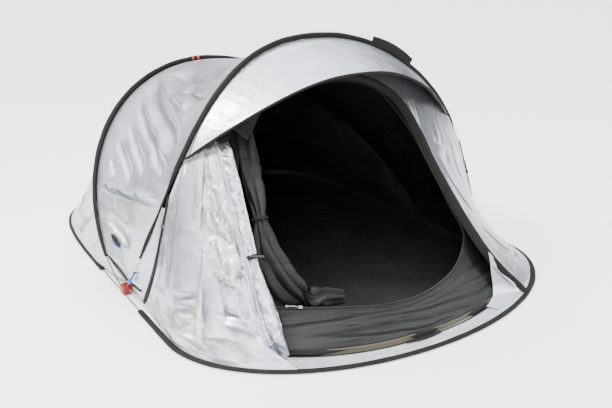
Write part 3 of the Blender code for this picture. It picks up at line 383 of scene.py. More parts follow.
def hood_line(share, back=0.0):
    """The hood's front edge, or a line so far behind it. Out is how far it reaches from the arch's top."""
    reach = taut((share - HOOD_ROOT) / (1 - 2 * HOOD_ROOT), 0.969)
    root = front_arch.at(share)
    out = np.stack([HOOD_OUT[0] * root[..., 0]] + [np.full(root.shape[:-1], way) for way in HOOD_OUT[1:]], -1)
    clear = unit(out) * col(0.018 * (1 - reach) ** 6)
    return root + out * col(reach) + clear - unit(out) * back


def hood(u, v):
    """The hood rises from the arch's sleeve, lower on it towards the middle, and bows a little between its edges."""
    share = span(HOOD_START, 1 - HOOD_START, u)
    axis = front_arch.at(share)
    edge = hood_line(share, 0.003) - RIGHT * col(HOOD_TRIM * ease((u - 0.8) / 0.1))
    below = 0.16 + 0.62 * ease((u - 0.1) / 0.25) * ease((0.94 - u) / 0.2)
    start = axis + (unit(edge - axis) * col(np.cos(below)) - unit(axis - HEART) * col(np.sin(below))) * 0.0127
    start = start - RIGHT * col(np.clip(axis[..., 0] - 0.45, 0, 0.4) * 0.04)
    return lerp(start, edge, v) + UP * col(0.012 * arc(v) * arc(u))


SKIRT_INNER = (0.288, 0.79)


def skirt_inner(share, back):
    outward = unit(np.cross(floor_front.along(share, 0.004), UP))
    edge = floor_front.at(share) + outward * (0.008 + col(back))
    edge[..., 2] = 0.006
    return edge


def skirt(u, v):
    start = base_edge(span(0.322, 0.674, u), 0.001)
    end = skirt_inner(span(*SKIRT_INNER, u), 0.0115)
    return lerp(start, end, v)


CORNER_EDGE = Line([(0.447, -0.985, 0.205), (0.448, -1.0, 0.16), (0.448, -1.012, 0.11), (0.44, -1.036, 0.062),
                    (0.41, -1.07, 0.03), (0.34, -1.104, 0.014)])


def skirt_corner(u, v):
    """The skirt's end, which rises beside the doorway to the zip band."""
    band = door_edge(band_place(BAND_STEPS * (0.86 + 0.14 * np.minimum(u / 0.7, 1.0))), BAND_LAP)
    along = base_edge(0.678 - 0.068 * np.clip((u - 0.7) / 0.3, 0, 1), 0.003)
    return lerp(CORNER_EDGE.at(u), np.where(col(u) < 0.7, band, along), v)


# The inner tent's surfaces

WALL_FOOT = 0.029
INNER_DOORWAY = [(0.322, 0.15), (0.4, 0.085), (0.5, 0.07), (0.578, 0.104), (0.622, 0.228), (0.638, 0.443),
                 (0.638, 0.599), (0.642, 0.73), (0.618, 0.803), (0.58, 0.858), (0.54, 0.886), (0.5, 0.901),
                 (0.466, 0.901), (0.435, 0.897), (0.395, 0.88), (0.35, 0.86), (0.3, 0.835), (0.272, 0.77),
                 (0.275, 0.62), (0.288, 0.42), (0.3, 0.26)]
MIDDLE = (0.45, 0.5)
INNER_ZIP_STEPS = 36
doorway_loop = smooth([(a, b, 0.0) for a, b in INNER_DOORWAY + INNER_DOORWAY[:1]], 300)


def between(start, end, share, gap):
    """From start to end, beginning a small gap after start."""
    length = np.linalg.norm(end - start, axis=-1)
    first = np.minimum(gap / length, 0.3)
    return lerp(start, end, first + (1 - first) * share)


def inner_front_plain(share, drop):
    foot = floor_front.at(share)
    foot[..., 2] = WALL_FOOT
    return between(inner_front_arch.at(share), foot, drop, 0.001)


def inner_front(u, v):
    """A ring of fabric from the doorway (v = 0) out to the wall's own edge (v = 1)."""
    here = doorway_loop.at(u)
    dx, dy = here[..., 0] - MIDDLE[0], here[..., 1] - MIDDLE[1]
    reach_x = (np.where(dx > 0, 0.998, 0.002) - MIDDLE[0]) / np.where(np.abs(dx) > TINY, dx, TINY)
    reach_y = (np.where(dy > 0, 1.0, 0.0) - MIDDLE[1]) / np.where(np.abs(dy) > TINY, dy, TINY)
    reach = 1 + (np.minimum(reach_x, reach_y) - 1) * v
    across, down = MIDDLE[0] + dx * reach, MIDDLE[1] + dy * reach
    plain = inner_front_plain(across, down)
    pull = arc(np.clip(down, 0, 1)) * np.maximum(arc(np.clip(across, 0, 1)), 0) ** 0.5
    over = np.interp(across, [0, 0.335, 0.4, 0.455, 0.47, 0.5, 0.515, 0.56, 0.575, 0.61, 0.62, 1.0],
                     [1, 1, 0, 0, 1, 1, 0, 0, 1, 1, 0, 0])
    outward = unit(plain * [1, 1, 0] - [0, -0.3, 0])
    return (plain + unit(HEART - plain) * col(INNER_FRONT_SAG * pull * np.minimum(2.5 * v, 1.0))
            + outward * col(0.0095 * over * ease((down - 0.93) / 0.05))
            - UP * col(0.022 * over * np.clip((down - 0.993) / 0.006, 0, 1)))


def inner_roof(u, v):
    share = span(0.0005, 0.9995, u)
    front, rear = inner_front_arch.at(share), inner_rear_arch.at(share)
    return hang(lerp(front, rear, v), front, rear, v, INNER_ROOF_SAG * taut(u, 0.5))


def inner_rear(u, v):
    share = span(0.0005, 0.9995, u)
    top, foot = inner_rear_arch.at(share), floor_rear.at(share)
    foot[..., 2] = WALL_FOOT
    return hang(between(top, foot, v, -0.008), top, foot, v, INNER_REAR_SAG * taut(u, 0.5))


def inner_zip_point(place, offset):
    """A place along the inner doorway's edge, so far into the doorway."""
    point, ahead, behind = (inner_front_plain(*pair_of(doorway_loop.at(place + d))) for d in (0, 0.01, -0.01))
    inward = inner_front_plain(*(one(middle) for middle in MIDDLE)) - point
    return point + square_to(inward, unit(ahead - behind)) * col(offset)


# Creases and folds, in metres on the flat fabric


def perlin(x, y, seed):
    xi, yi = np.floor(x).astype(np.int64), np.floor(y).astype(np.int64)
    fx, fy = x - xi, y - yi

    def corner(i, j):
        h = ((xi + i) * 73856093) ^ ((yi + j) * 19349663) ^ (seed * 83492791)
        h = (h ^ (h >> 13)) * 1274126177
        angle = ((h ^ (h >> 16)) & 4095) * (2 * np.pi / 4096)
        return np.cos(angle) * (fx - i) + np.sin(angle) * (fy - j)

    wx, wy = (f ** 3 * (f * (f * 6 - 15) + 10) for f in (fx, fy))
    low = corner(0, 0) * (1 - wx) + corner(1, 0) * wx
    high = corner(0, 1) * (1 - wx) + corner(1, 1) * wx
    return (low * (1 - wy) + high * wy) * 1.5


def crumple(x, y, size, seed, turn=0.0, stretch=1.0, octaves=3):
    """Creased fabric: soft swellings that meet in sharp valleys. About -0.4 to 0.6."""
    c, s = math.cos(turn), math.sin(turn)
    a, b = (c * x + s * y) / (size * stretch), (c * y - s * x) / size
    a, b = a + 0.5 * perlin(a * 0.8, b * 0.8, seed + 31), b + 0.5 * perlin(a * 0.8, b * 0.8, seed + 37)
    total, share = np.zeros(x.shape), 1.0
    for octave in range(octaves):
        total += share * np.abs(perlin(a, b, seed + octave))
        a, b, share = a * 2.13, b * 2.13, share * 0.5
    return total - 0.4


def facets(x, y, size, seed, turn=0.0, stretch=1.0):
    """Flat facets with straight creases between them, like crushed foil. -0.5 to 0.5."""
    def height(i, j):
        value = np.sin(i * 127.1 + j * 311.7 + seed * 74.7) * 43758.5453
        return value - np.floor(value)

    total = np.zeros(x.shape)
    for step, (scale, share) in enumerate(((1.0, 0.75), (0.43, 0.25))):
        length, angle = size * scale, turn + 0.8 * step
        c, s = math.cos(angle), math.sin(angle)
        shift_a, shift_b = (0.35 * perlin(x / length / 1.7, y / length / 1.7, seed + k) for k in (3, 4))
        a, b = (x * c + y * s) / (length * stretch) + shift_a, (y * c - x * s) / length + shift_b
        i, j = np.floor(a), np.floor(b)
        fa, fb = a - i, b - j
        flip = height(i + 0.5, j + 0.5) > 0.5
        g = np.where(flip, 1 - fa, fa)
        near, far = np.where(flip, i + 1, i), np.where(flip, i, i + 1)
        h00, h10, h01, h11 = height(near, j), height(far, j), height(near, j + 1), height(far, j + 1)
        lower = h00 + (h10 - h00) * g + (h11 - h10) * fb
        upper = h00 + (h11 - h01) * g + (h01 - h00) * fb
        total += share * (np.where(g > fb, lower, upper) - 0.5)
    return total


def fold(x, y, path, width, height, fade=0.3, sharp=False):
    """A ridge, or a valley where height is below zero, along a path: steep on one side, fading at its ends."""
    best, place, side = np.full(x.shape, 1e9), np.zeros(x.shape), np.zeros(x.shape)
    for i, (a, b) in enumerate(zip(path, path[1:])):
        dx, dy = b[0] - a[0], b[1] - a[1]
        t = np.clip(((x - a[0]) * dx + (y - a[1]) * dy) / max(dx * dx + dy * dy, TINY), 0, 1)
        gap = np.hypot(x - a[0] - dx * t, y - a[1] - dy * t)
        nearer = gap < best
        place = np.where(nearer, (i + t) / (len(path) - 1), place)
        side = np.where(nearer, dx * (y - a[1]) - dy * (x - a[0]), side)
        best = np.minimum(gap, best)
    ends = ease(np.minimum(place, 1 - place) / fade)
    near = best / (width * np.where(side > 0, 1.5, 0.6))
    return height * ends * (np.exp(-near) if sharp else np.exp(-near ** 2))


# Meshes


def mesh_object(name, points, faces, slot, smooth_faces=True, uv=None, values=None):
    mesh = bpy.data.meshes.new(name)
    mesh.from_pydata(np.asarray(points).reshape(-1, 3).tolist(), [], [list(map(int, f)) for f in faces])
    mesh.validate()
    if smooth_faces:
        mesh.shade_smooth()
    if uv is not None:
        corners = np.zeros(len(mesh.loops), np.int32)
        mesh.loops.foreach_get("vertex_index", corners)
        flat = np.asarray(uv, np.float32).reshape(-1, 2)[corners]
        mesh.uv_layers.new(name="flat").data.foreach_set("uv", flat.ravel())
    for label, value in (values or {}).items():
        mesh.attributes.new(label, "FLOAT", "POINT").data.foreach_set("value", np.asarray(value, np.float32).ravel())
    made = bpy.data.objects.new(name, mesh)
    bpy.context.scene.collection.objects.link(made)
    mesh.materials.append(MATERIALS[slot])
    return made


def place_piece(made, slot, replaced=(), body="tent"):
    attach(made, body)
    slot if slot in RECORD_SLOTS else OTHER_SLOTS.get(slot, "sleeve")
    if replaced:
        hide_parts(*replaced)
    return made


def grid_faces(nu, nv, wrap_u=False, wrap_v=False):
    rows, across = (nu if wrap_u else nu + 1), (nv if wrap_v else nv + 1)
    i, j = np.meshgrid(np.arange(nu), np.arange(nv), indexing="ij")
    i, j = i.ravel(), j.ravel()
    a, b = (i + 1) % rows, (j + 1) % across
    return np.stack([i * across + j, a * across + j, a * across + b, i * across + b], -1)


def normals_of(points, wrap_u=False):
    if wrap_u:
        down = np.roll(points, -1, 0) - np.roll(points, 1, 0)
    else:
        down = np.gradient(points, axis=0)
    return unit(np.cross(down, np.gradient(points, axis=1)))


def hollows(height, x, y, reach):
    """How far each place lies below the mean of the cloth around it, in metres."""
    mean = height
    for axis, place in ((0, x[:, 0]), (1, y[0])):
        cells = max(1, int(round(reach * (len(place) - 1) / place[-1])))
        ends = [(cells, cells) if axis == a else (0, 0) for a in (0, 1)]
        kernel = np.ones(2 * cells + 1) / (2 * cells + 1)
        mean = np.apply_along_axis(np.convolve, axis, np.pad(mean, ends, mode="edge"), kernel, "valid")
    return mean - height


def thicken(made, thickness, offset=0.0, lining=None):
    """Close a sheet into a thin solid. The lining is the material of its inner side."""
    shell = made.modifiers.new("thickness", "SOLIDIFY")
    shell.thickness, shell.offset = thickness, offset
    if lining:
        made.data.materials.append(MATERIALS[lining])
        shell.material_offset, shell.material_offset_rim = 1, 0


def declare_sheet(made, points, length, held, rests_on):
    """Works out the area of the modelled cloth, and keeps nothing of it."""
    down, across = points[1:, :-1] - points[:-1, :-1], points[:-1, 1:] - points[:-1, :-1]
    area = np.linalg.norm(np.cross(down, across), axis=-1).sum()
    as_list(rests_on)


def panel(name, surface, nu, nv, slot, relief=None, replaced=(), thickness=FABRIC, lining=None, wrap_u=False,
          body="tent", away=HEART, tint=None, shades=(), sheet=None):
    """A sheet of fabric with its folds. x and y are metres on the flat fabric, and its outer side faces away from a
    point. Each of the shades is a hollow's reach, the depth of full shade, and its strength."""
    us = np.linspace(0, 1, nu + 1) if not wrap_u else np.arange(nu) / nu
    u, v = np.meshgrid(us, np.linspace(0, 1, nv + 1), indexing="ij")
    points = surface(u, v)
    steps = [np.linalg.norm(np.diff(points, axis=k), axis=-1).mean(axis=1 - k) for k in (0, 1)]
    x, y = (np.concatenate([[0], np.cumsum(step)]) for step in steps)
    x, y = x[:, None] + 0 * v, y[None, :] + 0 * u
    normals = normals_of(points, wrap_u)
    outward = np.sign(np.mean(dot(normals, points - away))) or 1.0
    cloth = Cloth(u, v, x, y)
    height = relief(cloth) if relief else 0 * u
    points = points + normals * outward * col(height)
    LAID[name] = (points, normals_of(points, wrap_u) * outward)
    faces = grid_faces(nu, nv, wrap_u)
    if outward < 0:
        faces = faces[:, ::-1]
    # Painted shade in the cloth's hollows: each of the shades darkens the colour where the cloth lies below the cloth
    # around it.
    shade = sum(share * np.clip(hollows(height, x, y, reach) / depth, 0, 1) for reach, depth, share in shades)
    values = {"tint": (tint(cloth) if tint else 0 * u) - shade}
    made = mesh_object(name, points, faces, slot, uv=np.stack([x, y], -1), values=values)
    thicken(made, thickness, 0.0, lining)
    if sheet:
        declare_sheet(made, points, y.max(), *sheet)
    return place_piece(made, slot, replaced, body)


LAID = {}


def on_fabric(name, u, v):
    """The place on a finished panel at u and v, and the panel's normal there."""
    points, normals = LAID[name]
    a, b = np.clip(u, 0, 1) * (points.shape[0] - 1), np.clip(v, 0, 1) * (points.shape[1] - 1)
    i, j = np.minimum(a.astype(int), points.shape[0] - 2), np.minimum(b.astype(int), points.shape[1] - 2)
    fa, fb = col(a - i), col(b - j)

    def read(grid):
        return ((grid[i, j] * (1 - fa) + grid[i + 1, j] * fa) * (1 - fb)
                + (grid[i, j + 1] * (1 - fa) + grid[i + 1, j + 1] * fa) * fb)

    return read(points), unit(read(normals))


def frame_along(line, shares, up_hint):
    """Two directions across a line at each share, the first as near as it can be to the hint."""
    along = line.along(shares)
    hint = np.broadcast_to(np.asarray(up_hint, float), along.shape)
    first = square_to(hint, along)
    return first, np.cross(along, first)


def tube(name, line, shares, radius, slot, sides=20, hint=UP, wobble=None, replaced=(), body="tent", hollow=True,
         squash_z=None):
    """A round or flattened tube along a line."""
    first, second = frame_along(line, shares, hint)
    a, s = np.meshgrid(2 * np.pi * np.arange(sides) / sides, shares, indexing="xy")
    r = radius * (1 + (wobble(s, a) if wobble else 0))
    points = (line.at(shares)[:, None, :] + first[:, None, :] * col(r * np.cos(a))
              + second[:, None, :] * col(r * np.sin(a)))
    if squash_z is not None:
        points[..., 2] = HOOP_Z + (points[..., 2] - HOOP_Z) * squash_z
    faces = list(grid_faces(len(shares) - 1, sides, wrap_v=True)[:, ::-1])
    if not hollow:
        faces += [np.arange(sides), np.arange(sides)[::-1] + (len(shares) - 1) * sides]
    made = mesh_object(name, points, faces, slot, uv=np.stack([s * line.length, a / (2 * np.pi) * 0.085], -1))
    if hollow:
        thicken(made, 0.001, -1.0)
    return place_piece(made, slot, replaced, body)


# Materials


class Nodes:
    """A short way to write a material's nodes."""

    def __init__(self, name):
        self.material = bpy.data.materials.new(name)
        self.material.use_nodes = True
        self.tree = self.material.node_tree
        self.shader = self.tree.nodes["Principled BSDF"]

    @property
    def place(self):
        return self.node("TexCoord").outputs["Object"]

    @property
    def flat(self):
        return self.node("UVMap", uv_map="flat").outputs["UV"]

    def node(self, kind, inputs=None, **settings):
        made = self.tree.nodes.new("ShaderNode" + kind)
        for key, value in settings.items():
            setattr(made, key, value)
        for key, value in (inputs or {}).items():
            self.feed(made.inputs[key], value)
        return made

    def feed(self, socket, value):
        if isinstance(value, bpy.types.NodeSocket):
            self.tree.links.new(value, socket)
        else:
            socket.default_value = value

    def math(self, operation, a, b=0.0):
        made = self.node("Math", operation=operation)
        for socket, value in zip(made.inputs, (a, b)):
            self.feed(socket, value)
        return made.outputs[0]

    def mix(self, factor, a, b):
        made = self.node("Mix", data_type="RGBA")
        self.feed(made.inputs["Factor"], factor)
        self.feed(made.inputs["A"], a)
        self.feed(made.inputs["B"], b)
        return made.outputs["Result"]

    def noise(self, vector, scale, detail=2.0, roughness=0.5, distortion=0.0):
        made = self.node("TexNoise", {"Vector": vector, "Scale": scale, "Detail": detail, "Roughness": roughness,
                                      "Distortion": distortion})
        return made.outputs["Fac"]

    def ramp(self, value, low, high, to_low=0.0, to_high=1.0):
        made = self.node("MapRange", {"Value": value, "From Min": low, "From Max": high, "To Min": to_low,
                                      "To Max": to_high})
        return made.outputs["Result"]

    def bump(self, height, strength, distance, before=None):
        made = self.node("Bump", {"Height": height, "Strength": strength, "Distance": distance})
        if before is not None:
            self.feed(made.inputs["Normal"], before)
        return made.outputs["Normal"]

    def finish(self, colour, roughness, normal=None, **fixed):
        self.feed(self.shader.inputs["Base Color"], colour)
        self.feed(self.shader.inputs["Roughness"], roughness)
        if normal is not None:
            self.feed(self.shader.inputs["Normal"], normal)
        for key, value in fixed.items():
            self.shader.inputs[key.replace("_", " ")].default_value = value
        return self.material


def rgb(r, g, b):
    return (r, g, b, 1.0)


def weave(n, pitch):
    """The height of a plain weave with that pitch in metres."""
    waves = [n.node("TexWave", {"Vector": n.flat, "Scale": 0.5 / pitch, "Distortion": 0.3, "Detail": 1.0},
                    wave_type="BANDS", bands_direction=axis).outputs["Fac"] for axis in ("X", "Y")]
    return n.math("MULTIPLY", waves[0], waves[1])


def silver_fabric(name, metallic):
    """The coated cloth. A value at each place warms its colour above nought and gives painted shade below it."""
    n = Nodes(name)
    place = n.place
    tint = n.node("Attribute", attribute_name="tint", attribute_type="GEOMETRY").outputs["Fac"]
    large = n.noise(place, 3.0, 3.0, 0.55, 0.8)
    fine = n.noise(place, 24.0, 5.0, 0.65, 0.8)
    cool = n.mix(n.ramp(large, 0.38, 0.62), rgb(0.435, 0.465, 0.525), rgb(0.545, 0.56, 0.595))
    plain = n.mix(n.ramp(fine, 0.35, 0.75, 0.0, 0.45), cool, rgb(0.59, 0.6, 0.625))
    warm = n.mix(n.math("MULTIPLY", tint, n.ramp(fine, 0.25, 0.65, 0.55, 1.0)), plain, rgb(0.56, 0.475, 0.36))
    # Painted shade: where the value is below nought, the colour turns towards a dark olive grey.
    colour = n.mix(n.math("MULTIPLY", tint, -1.0), warm, rgb(0.095, 0.093, 0.082))
    lines = n.math("ABSOLUTE", n.math("SUBTRACT", n.noise(place, 19.0, 2.0, 0.5, 2.2), 0.5))
    creases = n.math("MULTIPLY", n.ramp(lines, 0.0, 0.035, 1.0, 0.0), n.ramp(n.noise(place, 4.0, 2.0), 0.45, 0.6))
    # Painted shade along the crease lines: the colour darkens there.
    colour = n.mix(n.math("MULTIPLY", creases, 0.14), colour, rgb(0.16, 0.16, 0.165))
    normal = n.bump(creases, 0.35, 0.0016)
    normal = n.bump(n.noise(place, 38.0, 3.0, 0.6, 0.5), 0.16, 0.004, normal)
    normal = n.bump(weave(n, 0.0016), 0.06, 0.0006, normal)
    return n.finish(colour, n.ramp(fine, 0.25, 0.75, 0.24, 0.38), normal, Metallic=metallic)


def dark_fabric(name, colour, other, roughness, pitch, bump=0.25, gloss=0.35):
    n = Nodes(name)
    patches = n.noise(n.place, 5.0, 4.0, 0.6)
    threads = weave(n, pitch)
    shade = n.mix(n.ramp(patches, 0.3, 0.7), colour, other)
    shade = n.mix(n.ramp(threads, 0.0, 1.0, 0.25, 0.0), shade, rgb(0.004, 0.004, 0.004))
    normal = n.bump(n.noise(n.place, 60.0, 3.0, 0.6, 1.0), 0.2, 0.004)
    normal = n.bump(threads, bump, 0.0008, normal)
    return n.finish(shade, n.ramp(patches, 0.3, 0.7, roughness - 0.05, roughness + 0.06), normal,
                    Specular_IOR_Level=gloss)


def sleeve_fabric():
    n = Nodes("sleeve_weave")
    threads = weave(n, 0.0022)
    worn = n.noise(n.place, 30.0, 4.0, 0.65)
    shade = n.mix(n.ramp(worn, 0.35, 0.75), rgb(0.009, 0.0085, 0.008), rgb(0.02, 0.0185, 0.017))
    shade = n.mix(n.ramp(threads, 0.0, 1.0, 0.35, 0.0), shade, rgb(0.005, 0.0045, 0.004))
    normal = n.bump(n.noise(n.place, 90.0, 3.0, 0.6), 0.25, 0.002)
    normal = n.bump(threads, 0.4, 0.0008, normal)
    return n.finish(shade, n.ramp(worn, 0.3, 0.7, 0.62, 0.78), normal, Specular_IOR_Level=0.15)


def plastic(name, colour, roughness=0.38):
    n = Nodes(name)
    worn = n.noise(n.place, 55.0, 4.0, 0.6)
    shade = n.mix(n.ramp(worn, 0.45, 0.8, 0.0, 0.3), colour, rgb(*(0.45 * c for c in colour[:3])))
    normal = n.bump(n.noise(n.place, 700.0, 2.0), 0.12, 0.0004)
    return n.finish(shade, n.ramp(worn, 0.3, 0.7, roughness, roughness + 0.14), normal)


def worn_coat(name, scale, wear, colour, bare, roughness, bump, **fixed):
    """A hard surface whose colour turns where it is worn."""
    n = Nodes(name)
    worn = n.noise(n.place, scale, 4.0, 0.6)
    shade = n.mix(n.ramp(worn, *wear), colour, bare)
    return n.finish(shade, n.ramp(worn, 0.3, 0.7, *roughness), n.bump(worn, bump, 0.0003), **fixed)


def cord_braid(name, colour, dark):
    n = Nodes(name)
    slanted = n.node("Mapping", {"Vector": n.flat, "Rotation": (0.0, 0.0, 0.7)}).outputs["Vector"]
    strands = n.node("TexWave", {"Vector": slanted, "Scale": 180.0, "Distortion": 0.6, "Detail": 1.0}).outputs["Fac"]
    shade = n.mix(n.ramp(strands, 0.2, 0.8), dark, colour)
    shade = n.mix(n.ramp(n.noise(n.place, 90.0, 3.0), 0.3, 0.8, 0.0, 0.4), shade, dark)
    return n.finish(shade, 0.75, n.bump(strands, 0.5, 0.0006), Sheen_Weight=0.2)


MATERIALS = {
    "fly": silver_fabric("fly_silver", 0.84),
    "fly_flat": silver_fabric("fly_silver_flat", 0.3),
    "fly_lining": dark_fabric("fly_black_coating", rgb(0.012, 0.012, 0.012), rgb(0.02, 0.02, 0.019), 0.5, 0.0018),
    "sleeve": sleeve_fabric(),
    "inner": dark_fabric("inner_fabric", rgb(0.009, 0.009, 0.0092), rgb(0.015, 0.0147, 0.0143), 0.46, 0.0016, 0.2,
                         0.32),
    "inner_dark": dark_fabric("inner_door_fabric", rgb(0.004, 0.004, 0.0042), rgb(0.0075, 0.0074, 0.0072), 0.48,
                              0.0016, 0.2, 0.25),
    "groundsheet": dark_fabric("groundsheet_weave", rgb(0.15, 0.13, 0.09), rgb(0.21, 0.185, 0.135), 0.55, 0.003, 0.4),
    "rod": worn_coat("rod_coating", 120.0, (0.5, 0.8), rgb(0.035, 0.034, 0.033), rgb(0.12, 0.1, 0.08), (0.3, 0.5),
                     0.1, Coat_Weight=0.2),
    "red_plastic": plastic("red_plastic_moulded", rgb(0.26, 0.014, 0.007)),
    "blue_plastic": plastic("blue_plastic_moulded", rgb(0.003, 0.055, 0.32)),
    "metal": worn_coat("slider_metal", 160.0, (0.4, 0.7), rgb(0.3, 0.29, 0.27), rgb(0.17, 0.165, 0.155), (0.24, 0.42),
                       0.15, Metallic=1.0),
    "cord": cord_braid("beige_cord", rgb(0.62, 0.55, 0.42), rgb(0.3, 0.25, 0.18)),
    "black_cord": cord_braid("black_cord", rgb(0.03, 0.03, 0.031), rgb(0.012, 0.012, 0.012)),
    "black_plastic": plastic("black_plastic_moulded", rgb(0.022, 0.022, 0.023), 0.42),
    "teeth": plastic("zip_teeth_black", rgb(0.018, 0.018, 0.019), 0.35),
    "red_tape": dark_fabric("red_marking_tape", rgb(0.8, 0.075, 0.02), rgb(0.7, 0.055, 0.016), 0.6, 0.0015),
    "floor_inside": dark_fabric("floor_inside_weave", rgb(0.012, 0.0115, 0.011), rgb(0.018, 0.017, 0.016), 0.6, 0.003),
}


# Cloth: the flat fabric's coordinates, and what is added to them


class Cloth:
    """A panel's u, v and its metres x, y on the flat fabric, with the folds that can be put on it."""

    def __init__(self, u, v, x, y):
        self.u, self.v, self.x, self.y = u, v, x, y
        self.wx = x + 0.012 * perlin(x / 0.2, y / 0.2, 301)
        self.wy = y + 0.012 * perlin(x / 0.2, y / 0.2, 302)

    def metres(self, u, v):
        return (np.interp(u, self.u[:, 0], self.x[:, 0]), np.interp(v, self.v[0], self.y[0]))

    def fold(self, path, width, height, fade=0.3, sharp=False):
        return fold(self.wx, self.wy, [self.metres(*p) for p in path], width, height, fade, sharp)

    def folds(self, total, table, share=1.0, fade=0.25, place=lambda u, v: (u, v)):
        """The total with a table's folds added: each one's path, width, height and whether it is sharp."""
        for path, width, height, sharp in table:
            total = total + self.fold([place(*p) for p in path], width, height * share, fade, sharp)
        return total

    def crumple(self, size, seed, turn=0.0, stretch=1.0, octaves=3):
        return crumple(self.x, self.y, size, seed, turn, stretch, octaves)

    def facets(self, size, seed, turn=0.0, stretch=1.0):
        return facets(self.x, self.y, size, seed, turn, stretch)

    def blob(self, centre, reach):
        cx, cy = self.metres(*centre)
        return np.exp(-((self.x - cx) / reach[0]) ** 2 - ((self.y - cy) / reach[1]) ** 2)

    def inside(self, across, down):
        """Nought at the panel's edges, one from that many metres in."""
        wide, tall = self.x.max(), self.y.max()
        sides = ease(np.minimum(self.x, wide - self.x) / across) if across else 1.0
        ends = ease(np.minimum(self.y, tall - self.y) / down) if down else 1.0
        return sides * ends


ROOF_FOLDS = [
    ([(0.364, 0.926), (0.304, 0.615), (0.253, 0.338), (0.22, 0.104)], 0.026, -0.046, True),
    ([(0.385, 0.9), (0.33, 0.6), (0.28, 0.33), (0.25, 0.12)], 0.034, 0.02, False),
    ([(0.299, 0.816), (0.248, 0.575), (0.2, 0.308), (0.174, 0.11)], 0.02, -0.04, True),
    ([(0.32, 0.83), (0.268, 0.58), (0.222, 0.33), (0.195, 0.14)], 0.026, 0.016, False),
    ([(0.217, 0.843), (0.183, 0.7), (0.151, 0.548)], 0.014, -0.03, True),
    ([(0.252, 0.796), (0.208, 0.602), (0.163, 0.385)], 0.015, -0.03, True),
    ([(0.175, 0.853), (0.151, 0.736)], 0.012, -0.018, True),
    ([(0.397, 0.826), (0.368, 0.401), (0.36, 0.084)], 0.034, -0.032, False),
    ([(0.337, 0.472), (0.31, 0.11)], 0.022, -0.032, True),
    ([(0.325, 0.52), (0.285, 0.2)], 0.03, 0.02, False),
    ([(0.128, 0.985), (0.1276, 0.789), (0.133, 0.605), (0.1386, 0.344), (0.15, 0.03)], 0.014, 0.04, True),
    ([(0.119, 0.985), (0.118, 0.789), (0.123, 0.605), (0.128, 0.344), (0.14, 0.03)], 0.008, -0.014, False),
    ([(0.07, 0.9), (0.055, 0.6), (0.05, 0.3)], 0.034, -0.016, False),
]
EYELETS = [(0.1279, 0.789), (0.1385, 0.348)]


def roof_relief(c):
    total = 0.003 * c.crumple(0.3, 8, 0.75, 2.6, 2)
    for place, share in ((lambda u, v: (u, v), 1.0), (lambda u, v: (1 - u, v), 0.85)):
        total = c.folds(total, ROOF_FOLDS, share, 0.3, place)
        for u, v in EYELETS:
            total = total - 0.009 * c.blob(place(u, v), (0.008, 0.02))
            total = total + 0.007 * c.blob(place(u, v - 0.02), (0.022, 0.05))
        total = total + 0.016 * c.blob(place(0.08, 0.62), (0.05, 0.22))
        total = total + 0.008 * c.blob(place(0.285, 0.2), (0.09, 0.09))
    lowest = np.clip((0.16 - np.minimum(c.u, 1 - c.u)) / 0.16, 0, 1)
    total = total + 0.005 * c.facets(0.14, 18, 1.2, 2.2) + lowest * 0.009 * c.facets(0.07, 19, 1.2, 1.6)
    return c.inside(0.05, 0.05) * total


REAR_FOLDS = [
    ([(0.03, 0.1), (0.06, 0.45), (0.075, 0.9)], 0.022, -0.0125, False),
    ([(0.06, 0.06), (0.12, 0.4), (0.16, 0.93)], 0.03, -0.0146, False),
    ([(0.08, 0.08), (0.15, 0.42), (0.2, 0.93)], 0.03, 0.0104, False),
    ([(0.1, 0.06), (0.2, 0.45), (0.27, 0.9)], 0.034, -0.0125, False),
    ([(0.29, 0.05), (0.3, 0.45), (0.29, 0.95)], 0.04, -0.0125, False),
    ([(0.4, 0.04), (0.415, 0.5), (0.44, 0.96)], 0.04, 0.0125, False),
    ([(0.5, 0.06), (0.49, 0.5), (0.52, 0.93)], 0.034, -0.0125, False),
    ([(0.13, 0.96), (0.15, 0.78), (0.24, 0.64)], 0.02, 0.0104, False),
    ([(0.33, 0.94), (0.36, 0.72), (0.42, 0.6)], 0.022, -0.0104, False),
]


def rear_relief(c):
    total = 0.009 * c.crumple(0.24, 28, 1.5, 2.4, 2) + 0.0012 * c.crumple(0.055, 35, 1.2, 1.5)
    total = c.folds(total, REAR_FOLDS)
    total = c.folds(total, REAR_FOLDS, 0.8, place=lambda u, v: (1.01 - u, v))
    return c.inside(0.05, 0.06) * (total + 0.009 * c.facets(0.15, 29, 1.5, 1.8))


